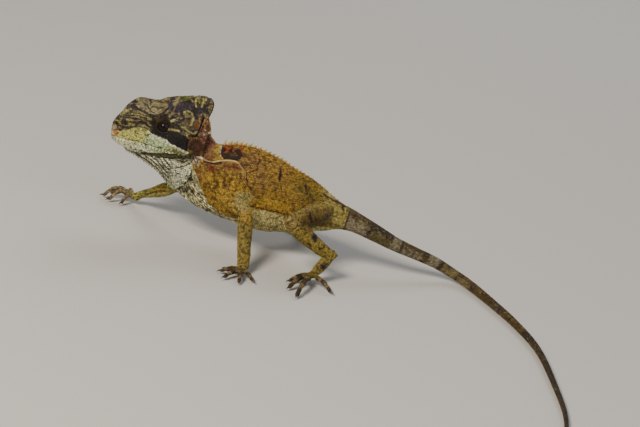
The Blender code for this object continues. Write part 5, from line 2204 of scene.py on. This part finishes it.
@dataclass
class Coat:
    """One piece of the coat: scales of one kind over a part of the skin."""

    name: str
    shape: ScaleShape
    roots: Roots
    slot: str
    long: float = 1.35  # a scale's length, in widths
    tall: float = 0.22  # its height, in widths
    broad: float = 1.0
    tilt: float = 5.0  # degrees that its tip lifts
    tilt_spread: float = 4.0
    spin_spread: float = 8.0
    vary: float = 0.12  # how much the sizes vary
    fade: float = 0.1  # how much the brightness varies
    smooth: bool = False
    fine: bool = True  # markings may change within a scale

    def build(self, tree: ScaleTree, paint: Paint, frame: Frame, finish: bpy.types.Material) -> None:
        """Lays the scales.

        Args:
            tree: The tree that sets them.
            paint: What colours them.
            frame: What moves them to the model.
            finish: Their material.
        """
        roots, count = self.roots, len(self.roots.at)
        draw = np.random.default_rng(len(self.name) * 101 + count)
        wide = roots.wide * draw.uniform(1 - self.vary, 1 + self.vary, count)
        bright = draw.uniform(1 - self.fade, 1 + self.fade, count)
        points = bpy.data.meshes.new(self.name)
        points.from_pydata(frame.metres(roots.at), [], [])
        vectors = {
            "out": roots.out,
            "along": roots.along,
            "size": np.column_stack([wide * self.broad, wide * self.long, wide * self.tall]) * MM,
            "unwrap": np.column_stack([roots.share, np.zeros(count)]),
        }
        for name, rows in vectors.items():
            write_attribute(points, name, "FLOAT_VECTOR", rows)
        write_attribute(points, "bright", "FLOAT", bright)
        if not self.fine:
            colour = paint.colours(roots.at, roots.part, roots.share, roots.station)
            write_attribute(points, "marking", "FLOAT_COLOR", colour * bright[:, None])
        source = new_object(f"{self.name}_roots", points)
        solid = new_object(f"{self.name}_solid", self.shape.mesh())
        lay = modify(source, "NODES", node_group=tree.group)
        angles = {"Tilt": self.tilt, "Tilt Spread": self.tilt_spread, "Spin Spread": self.spin_spread}
        given = {"Scale Solid": solid, "Finish": finish, **{k: math.radians(v) for k, v in angles.items()}}
        for name, value in given.items():
            lay[tree.inputs[name]] = value
        mesh = applied(source).data
        bpy.data.objects.remove(source)
        bpy.data.objects.remove(solid)
        for name in (*vectors, "patch"):
            if name in mesh.attributes:
                mesh.attributes.remove(mesh.attributes[name])
        places = read_rows(mesh.vertices)
        places[:, 2] = np.maximum(places[:, 2], 0.02 * MM)
        write_points(mesh, places)
        if self.fine:
            bright = np.empty(len(places), np.float32)
            mesh.attributes["bright"].data.foreach_get("value", bright)
            colour = paint.plain(frame.millimetres(places), roots.part[0])
            write_attribute(mesh, "marking", "FLOAT_COLOR", colour * bright[:, None])
        mesh.attributes.remove(mesh.attributes["bright"])
        if self.smooth:
            mesh.shade_smooth()
        mesh.name = self.name
        add_piece(self.name, mesh)


# For each piece: its name, kind of scale, roots and slot, then a scale's length, height and breadth in
# widths, its tip's lift and the spreads of lift and turn in degrees, how much size and brightness vary,
# and whether the markings change within a scale.
COATS = """
head_plates PLATE head helmet_skin 0.95 0.28 0.95 0 4 30 0.2 0.2 fine
jaw_scales PLATE jaw throat_skin 1 0.22 0.95 0 4 8 0.12 0.14 fine
throat_scales PLATE throat throat_skin 1.1 0.42 0.84 3 4 8 0.16 0.28 fine
fin_scales KEELED fin body_skin 1.2 0.35 0.9 6 4 8 0.2 0.2 fine
flank_scales PLATE flank body_skin 1 0.34 0.87 4 4 8 0.2 0.24 fine
belly_scales PLATE belly body_skin 1.05 0.34 0.87 4 4 8 0.18 0.25 fine
chest_scales KEELED chest body_skin 2 0.55 0.8 13 8 12 0.25 0.35 fine
tail_scales KEELED tail tail_skin 1.2 0.4 0.84 5 2 3 0.08 0.25 coarse
arm_scales PLATE arms leg_skin 1.05 0.32 0.88 3 4 8 0.14 0.22 fine
leg_scales PLATE legs leg_skin 1.05 0.32 0.88 3 4 8 0.14 0.22 fine
toe_scales KEELED feet leg_skin 1.3 0.34 0.88 5 2 4 0.08 0.2 coarse
"""


@dataclass
class Wardrobe:
    """Works out where every scale of the body grows and makes the coat's pieces."""

    skull: Skull
    spine: Spine
    rows: dict[str, list[Roots]] = field(init=False)  # the scales of each region, on the bare forms

    def __post_init__(self) -> None:
        """Lays the rows."""
        skull, spine = self.skull, self.spine
        trunk = spine.form(Part.TRUNK, 0.4, spine.vent, 72)
        tail = spine.form(Part.TAIL, spine.vent, 23.95, 32)
        self.rows = {
            "head": [self.lip_plates(Part.HEAD, 0.75),
                     skull.head_form(skull.head, 49).rows(0.72, 0.86, 1, 0.16),
                     skull.blade_form().rows(0.7, 0.86, 2, 0.16),
                     skull.head_form(skull.ear_block, 33).rows(0.58, 0.84, 3, 0.12)],
            "jaw": [self.lip_plates(Part.JAW, -0.8), skull.jaw_form(skull.jaw, Part.JAW).rows(0.76, 0.9, 4)],
            "throat": [skull.jaw_form(skull.throat, Part.THROAT).rows(0.8, 1.0, 5)],
            "fin": [skull.fin_form().rows(0.6, 0.9, 6)],
            "trunk": [trunk.rows(((0.0, 0.15, 0.35, 0.8, 1.0), (0.6, 0.68, 0.8, 0.78, 0.68)), 0.86, 7, 0.12)],
            "tail": [tail.rows(((0, 0.1, 0.4, 1), (0.68, 0.72, 0.64, 0.34)), 0.95, 8)],
            "arms": [], "legs": [], "feet": [],
        }
        for i, limb in enumerate(LIMBS):
            upper, lower = limb.forms()
            self.rows["arms" if limb.part is Part.ARM else "legs"] += [
                upper.rows(0.8, 0.88, 20 + i), lower.rows(0.76, 0.88, 30 + i),
                limb.palm_form().rows(0.7, 0.88, 40 + i),
            ]
            for k, toe in enumerate(limb.digit_forms(), 50 + 5 * i):
                self.rows["feet"].append(toe.rows(0.62, 0.95, k, 0.04))

    def lip_plates(self, part: Part, lift: float) -> Roots:
        """A row of larger plates along a lip, on both sides.

        Args:
            part: The head for the upper lip, the jaw for the lower.
            lift: How far above the mouth's line it runs, in mm.

        Returns:
            The plates' roots.
        """
        x = np.tile(np.arange(-67.0, -38.0, 1.4), 2)
        count = len(x)
        side = np.repeat([-1.0, 1.0], count // 2)
        wide = np.interp(x, *np.transpose(self.skull.head)[:2])
        at = np.column_stack([x, side * wide, self.skull.mouth_height(x) + lift])
        share = np.column_stack([(x + 69) / 40, 0.5 + side * 0.2])
        along = np.tile((1.0, 0.0, 0.0), (count, 1))
        return Roots(at, along, np.full(count, 1.25), share, np.full(count, part), np.zeros(count))

    @staticmethod
    def off_lines(roots: Roots, lines: Sequence[Stroke]) -> Roots:
        """The scales that don't stand on one of these folds or creases."""
        far = np.min([line.distance(roots.at[:, [0, 2]]) - line.half for line in lines], axis=0)
        return roots.where((far > BARE_EDGE) | (np.abs(roots.out[:, 1]) < 0.3))

    def guide(self) -> Roots:
        """All the roots, as a guide to which part a place belongs to."""
        return Roots.joined([roots for group in self.rows.values() for roots in group], strips=False)

    def clear_of_openings(self, roots: Roots) -> Roots:
        """Drops the roots over the eyes, the ears and the nostrils.

        Args:
            roots: The roots of the head.

        Returns:
            The roots that stay.
        """
        skull, at = self.skull, roots.at
        away = mirrored(at) - skull.lid_middle()
        side = np.abs(at[:, 1]) > 4.0
        open_eye = (np.hypot(away[:, 0] * 0.9, away[:, 2]) < 2.35) & side
        ear = np.linalg.norm((at - skull.ear_at) * (1, 0, 1), axis=1)
        open_ear = (ear < skull.ear_radius * 0.98) & side & (np.abs(at[:, 0] + 33.4) < 3)
        nose = np.linalg.norm(mirrored(at) - skull.nostril_at, axis=1) < 0.95
        return roots.where(~(open_eye | open_ear | nose))

    def seated(self, skin: Skin) -> dict[str, Roots]:
        """The roots of each part, on the skin and clear of one another.

        Args:
            skin: The skin.

        Returns:
            The roots by part.
        """
        # how far the roots of a part may lie from the skin in mm, and the least gap between them in widths
        limits = {"head": (0.9, 0.62), "jaw": (0.6, 0.62), "throat": (0.7, 0.62), "fin": (0.7, 0.6),
                  "trunk": (0.9, 0.55), "tail": (0.7, 0.0), "arms": (0.7, 0.6), "legs": (0.7, 0.6),
                  "feet": (0.4, 0.0)}
        found = {}
        for name, (slack, gap) in limits.items():
            roots = skin.seat(Roots.joined(self.rows[name]), slack)
            if name == "head":
                roots = self.clear_of_openings(roots)
            found[name] = spaced(roots, gap) if gap else roots
        head = found["head"]
        lid_far = np.linalg.norm((mirrored(head.at) - self.skull.lid_middle()) * (0.9, 0.4, 1.0), axis=1)
        granular = (lid_far < 5.0) | (head.at[:, 2] < 43.5) | (head.at[:, 0] > -33)
        head.wide *= np.where(granular, 0.95, 1.2)
        found["throat"] = self.off_lines(found["throat"], (SHADED_CREASE,))
        found["trunk"] = self.off_lines(found["trunk"], (*FOLDS, SHADED_CREASE, FLANK_FOLD_SHADOW))
        whole = Roots.joined(list(found.values()), strips=False)
        tags = np.repeat(np.arange(len(found)), [len(roots.at) for roots in found.values()])
        whole.station = whole.station + tags * 1000.0
        kept = spaced(whole, 0.5)
        tags = kept.station // 1000
        kept.station = kept.station % 1000.0
        return {name: kept.where(tags == i) for i, name in enumerate(found)}

    def pieces(self, skin: Skin) -> list[Coat]:
        """The coat's pieces, with their roots seated on the skin.

        Args:
            skin: The skin.

        Returns:
            The pieces.
        """
        found = self.seated(skin)
        trunk = found.pop("trunk")
        low = trunk.at[:, 2] - np.interp(trunk.at[:, 0], *np.transpose(CHEST_EDGE)) < 0.2
        shaggy = low & (trunk.at[:, 0] < -9) & ((trunk.out[:, 2] < -0.1) | (trunk.at[:, 2] < 22))
        found["flank"], found["belly"] = trunk.where(~low), trunk.where(low & ~shaggy)
        found["chest"] = spaced(trunk.where(shaggy), 1.0)
        coats = []
        for piece, shape, group, slot, *sizes, grain in map(str.split, COATS.strip().splitlines()):
            fine = grain == "fine"
            coats.append(Coat(piece, ScaleShape[shape], found[group], slot, *map(float, sizes), fine=fine))
        return [
            *coats,
            self.spines("nape_spine", *self.spine.crest_line(np.array([2.2])), np.array([3.9]), 0.34),
            self.crest(),
            self.fringes(),
        ]

    @staticmethod
    def spines(name: str, at: Array, along: Array, out: Array, tall: Array, long: float) -> Coat:
        """A coat of single spines.

        Args:
            name: The piece's name.
            at: Where they stand.
            along: The way that they lean.
            out: The way that they stand.
            tall: How tall each is, in mm.
            long: How long its foot is, in heights.

        Returns:
            The coat.
        """
        count = len(at)
        share = np.column_stack([np.linspace(0.02, 0.98, count), np.full(count, 0.5)])
        roots = Roots(at, along, tall, share, np.full(count, Part.CREST), np.zeros(count), out)
        return Coat(name, ScaleShape.SPINE, roots, "body_skin", long, 1.0, 0.36, -6.0, 4.0, 3.0, 0.1, 0.12,
                    smooth=True)

    def crest(self) -> Coat:
        """The saw-toothed crest of the back."""
        at, along, away = self.spine.crest_line(np.linspace(2.45, 8.7, 27))
        return self.spines("crest_spines", at, along, away, np.geomspace(2.3, 0.7, 27), 1.0)

    def fringes(self) -> Coat:
        """The fringe of the nape and the points under the throat.

        Returns:
            The coat.
        """
        fin = curve_through(self.skull.fin[2:7], np.linspace(0.1, 3.8, 11))
        keel = curve_through(self.skull.throat, np.linspace(0.2, 4.6, 22))[:, [0, 2]] + (0, 0.1)
        slope, run = (unit(np.gradient(line, axis=0)) for line in (fin, keel))
        pairs = ((fin - (0.5, 0), keel), (slope, run), (slope[:, ::-1] * (-1, 1), run[:, ::-1] * (1, -1)))
        rows = (np.insert(np.concatenate(pair), 1, 0.0, axis=1) for pair in pairs)
        tall = np.concatenate([np.linspace(1.2, 0.9, 11), np.linspace(1.35, 1.2, 22)])
        return self.spines("fringe_spines", *rows, tall, 0.6)


@dataclass
class Folds:
    """The pale rolls of skin that edge the neck and shoulder, one piece with both sides."""

    skin: Skin
    frame: Frame
    thick: float = 1.15  # in the stroke's half widths

    def build(self) -> None:
        """Lays the rolls along the skin."""
        forms, tints = [], []
        for side, fold in itertools.product((-1, 1), [f for f in FOLDS if f.rise > 0]):
            count = len(fold.points)
            path = self.skin.flank(curve_through(fold.points, np.linspace(0, count - 1, 14 * count)), side)
            rough = 0.8 + 0.4 * cloud(path, 0.8, 82)
            round_ends = np.sin(np.linspace(0, math.pi, len(path))) ** 0.35
            form = sweep(Part.TRUNK, path, fold.half * self.thick * rough * round_ends + 0.03, 14)
            forms.append(form)
            tints.append(np.tile(linear(fold.tint), (form.rings.size // 3, 1)))
        mesh = mesh_of("neck_folds", forms)
        points = read_rows(mesh.vertices)
        tone = 0.75 + 0.5 * cloud(points, 0.6, 81)
        write_attribute(mesh, "marking", "FLOAT_COLOR", np.concatenate(tints) * tone[:, None])
        write_points(mesh, self.frame.metres(points))
        add_piece("neck_folds", mesh, SkinFinish("smooth_fold_skin").build())


@dataclass
class Eyes:
    """The two eyeballs, each with a bulging cornea."""

    skull: Skull
    frame: Frame
    bulge: float = 0.22

    def build(self) -> None:
        """Makes both eyes, which stand for their nodes."""
        finish = EyeFinish().build()
        for side, word in ((-1, "left"), (1, "right")):
            mesh = bpy.data.meshes.new(f"eyeball_{word}")
            shape = bmesh.new()
            bmesh.ops.create_uvsphere(shape, u_segments=64, v_segments=40, radius=1.0,
                                      matrix=Matrix.Rotation(math.pi / 2, 4, "X"))
            shape.to_mesh(mesh)
            shape.free()
            points = read_rows(mesh.vertices)
            facing = unit(np.array((-0.12, side, 0.02)))
            angle = np.arccos(np.clip(points @ facing, -1, 1)) / (math.pi / 2)
            swell = self.bulge * ramp(0.62, 0.0, angle)
            middle = np.multiply(self.skull.eye_at, (1, side, 1))
            places = middle + points * (self.skull.eye_radius + swell)[:, None]
            write_points(mesh, self.frame.metres(places))
            write_attribute(mesh, "ring", "FLOAT", angle)
            add_piece(mesh.name, mesh, finish, (f"eye_{word}",))


@dataclass
class Ears:
    """The two ear membranes, sunk in their hollows and a little dished."""

    skull: Skull
    frame: Frame
    paint: Paint
    # each ring's radius, and how far out it lies
    rings: Rows = (
        (0.1, -0.35), (2.62, -0.35), (2.66, 0.05), (2.5, 0.1), (2.0, -0.05), (1.2, -0.16), (0.1, -0.2)
    )

    def build(self) -> None:
        """Makes both membranes, which stand for their nodes."""
        finish = SkinFinish("ear_membrane_skin", (0.35, 0.5), grain=0.2, depth=0.02, shade=0.85).build()
        turn = math.radians(self.skull.ear_turn)
        angles = np.arange(48)[:, None] * math.pi / 24
        for side, word in ((-1, "left"), (1, "right")):
            facing = np.array((math.sin(turn), side * math.cos(turn), 0.0))
            middle = np.multiply(self.skull.ear_at, (1, side, 1)) - facing * (self.skull.ear_deep - 0.5)
            across = unit(np.cross(facing, (0, 0, 1)))
            circle = np.cos(angles) * across + np.sin(angles) * (0, 0, 1.0)
            rings = np.array([middle + circle * radius + facing * out for radius, out in self.rings])
            mesh = mesh_of(f"ear_membrane_{word}", [Form(Part.HEAD, rings)])
            points = read_rows(mesh.vertices)
            write_attribute(mesh, "marking", "FLOAT_COLOR", self.paint.plain(points, Part.TRUNK))
            write_points(mesh, self.frame.metres(points))
            add_piece(mesh.name, mesh, finish, (f"ear_{word}",))


@dataclass
class Claws:
    """The twenty claws, one piece for each hand and foot."""

    frame: Frame

    def build(self) -> None:
        """Makes the claws."""
        finish = HornFinish().build()
        for limb in LIMBS:
            forms = limb.claw_forms()
            mesh = mesh_of(f"claws_{limb.nodes()[2]}", forms, self.frame)
            reach = [np.repeat(np.linspace(0, 1, len(f.rings)), f.rings.shape[1]) for f in forms]
            write_attribute(mesh, "reach", "FLOAT", np.concatenate(reach))
            points = read_rows(mesh.vertices)
            points[:, 2] = np.maximum(points[:, 2], 0.02 * MM)
            write_points(mesh, points)
            add_piece(mesh.name, mesh, finish)


@dataclass(frozen=True)
class PaperFinish(Finish):
    """Matt studio paper: a pale, even grey with a faint tooth."""

    name: str = "matt_studio_paper"
    tooth: float = 10 / 9  # how wide its specks are, mm

    def shader(self, tree: bpy.types.NodeTree) -> bpy.types.Node:
        """Wires the nodes of the tree, and gives the last.

        Args:
            tree: The material's tree.

        Returns:
            The last node.
        """
        place = add_node(tree, "ShaderNodeTexCoord").outputs["Object"]
        spread = {"Vector": place, "Scale": 1 / (self.tooth * MM), "Detail": 3.0}
        stops = ((0.0, "#c9c6c0"), (1.0, "#d2cfc9"))
        specks = add_node(tree, "ShaderNodeTexNoise", spread)
        tone = add_node(tree, "ShaderNodeValToRGB", {"Fac": specks}, stops)
        return add_node(tree, "ShaderNodeBsdfPrincipled", {"Base Color": tone, "Roughness": 0.9})


@dataclass
class Studio:
    """A pale floor, soft lights, and a camera that sees the animal as the photograph does."""

    frame: Frame
    elevation: float = 20.0
    roll: float = 12.0
    distance: float = 1.0  # metres
    pixel: float = 0.417  # how many mm of the animal one pixel shows
    size: tuple[int, int] = (640, 427)
    aim: tuple[float, float, float] = (0.0, 0.0, 8.5)
    aim_pixel: tuple[float, float] = (262.0, 230.0)
    sensor: float = 36.0

    def camera(self) -> None:
        """Makes the camera."""
        lift, lean = math.radians(self.elevation), math.radians(self.roll)
        ahead = Vector((0, math.cos(lift), -math.sin(lift)))
        flat = ahead.cross(Vector((0, 0, 1))).normalized()
        above = flat.cross(ahead)
        right = math.cos(lean) * flat + math.sin(lean) * above
        up = -math.sin(lean) * flat + math.cos(lean) * above
        focal = self.distance / (self.pixel * MM)
        across = (self.aim_pixel[0] - self.size[0] / 2) / focal
        upright = -(self.aim_pixel[1] - self.size[1] / 2) / focal
        aim = Vector(self.frame.metres(self.aim))
        place = aim - self.distance * (ahead + across * right + upright * up)
        data = bpy.data.cameras.new("camera")
        data.sensor_width = self.sensor
        data.lens = focal * self.sensor / self.size[0]
        data.clip_start = 0.01
        made = new_object("camera", data)
        made.matrix_world = Matrix.Translation(place) @ Matrix((right, up, -ahead)).transposed().to_4x4()
        bpy.context.scene.camera = made

    def light(self, name: str, place: Sequence[float], size: float, power: float, tint: str) -> None:
        """A square soft light that faces the animal.

        Args:
            name: Its name.
            place: Where it hangs, in metres.
            size: How wide it is, in metres.
            power: In watts.
            tint: Its colour as sRGB hex.
        """
        data = bpy.data.lights.new(name, "AREA")
        data.size = size
        data.energy = power
        data.color = linear(tint)
        made = new_object(name, data)
        made.location = place
        ahead = Vector(self.frame.metres((0, 0, 25))) - Vector(place)
        made.rotation_euler = ahead.to_track_quat("-Z", "Y").to_euler()

    def floor(self) -> None:
        """A wide sheet of pale paper."""
        mesh = bpy.data.meshes.new("floor")
        mesh.from_pydata([(-6, -6, 0), (6, -6, 0), (6, 6, 0), (-6, 6, 0)], [], [(0, 1, 2, 3)])
        mesh.materials.append(PaperFinish().build())
        new_object("floor", mesh)

    def build(self) -> None:
        """Sets the floor, the lights, the surroundings and the camera."""
        self.floor()
        self.camera()
        self.light("key_light", (-0.5, -0.65, 0.8), 0.3, 13.0, "#fff4e4")
        self.light("fill_light", (0.7, -0.6, 0.5), 0.8, 2.5, "#eef3ff")
        self.light("rim_light", (0.2, 0.8, 0.7), 0.5, 3.0, "#ffffff")
        world = bpy.data.worlds.new("studio_air")
        world.use_nodes = True
        world.node_tree.nodes["Background"].inputs["Color"].default_value = (*linear("#dfe2e6"), 1)
        world.node_tree.nodes["Background"].inputs["Strength"].default_value = 0.25
        bpy.context.scene.world = world


FLESH = (
    "head", "lower_jaw", "throat", "neck", "torso", "tail_base", "tail_middle", "tail_rear", "tail_tip",
)


def main() -> None:
    """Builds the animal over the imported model."""
    logging.basicConfig(level=logging.INFO, format="%(name)s %(message)s")
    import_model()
    skull, spine = Skull(), Spine()
    frame = Frame.of(skull)
    paint = Paint(skull, spine)
    Studio(frame).build()

    wardrobe = Wardrobe(skull, spine)
    skin = Skin(skull, spine, paint, frame)
    piece = skin.build(wardrobe.guide())
    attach(piece, ROOT)
    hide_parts(*FLESH, *(node for limb in LIMBS for node in limb.nodes()))

    tree = ScaleTree()
    finish = SkinFinish("keratin_scales", grain=0.16, depth=0.02, reach=True).build()
    for coat in wardrobe.pieces(skin):
        coat.build(tree, paint, frame, finish)
    for group in (Folds(skin, frame), Eyes(skull, frame), Ears(skull, frame, paint), Claws(frame)):
        group.build()


if __name__ == "__main__":
    main()
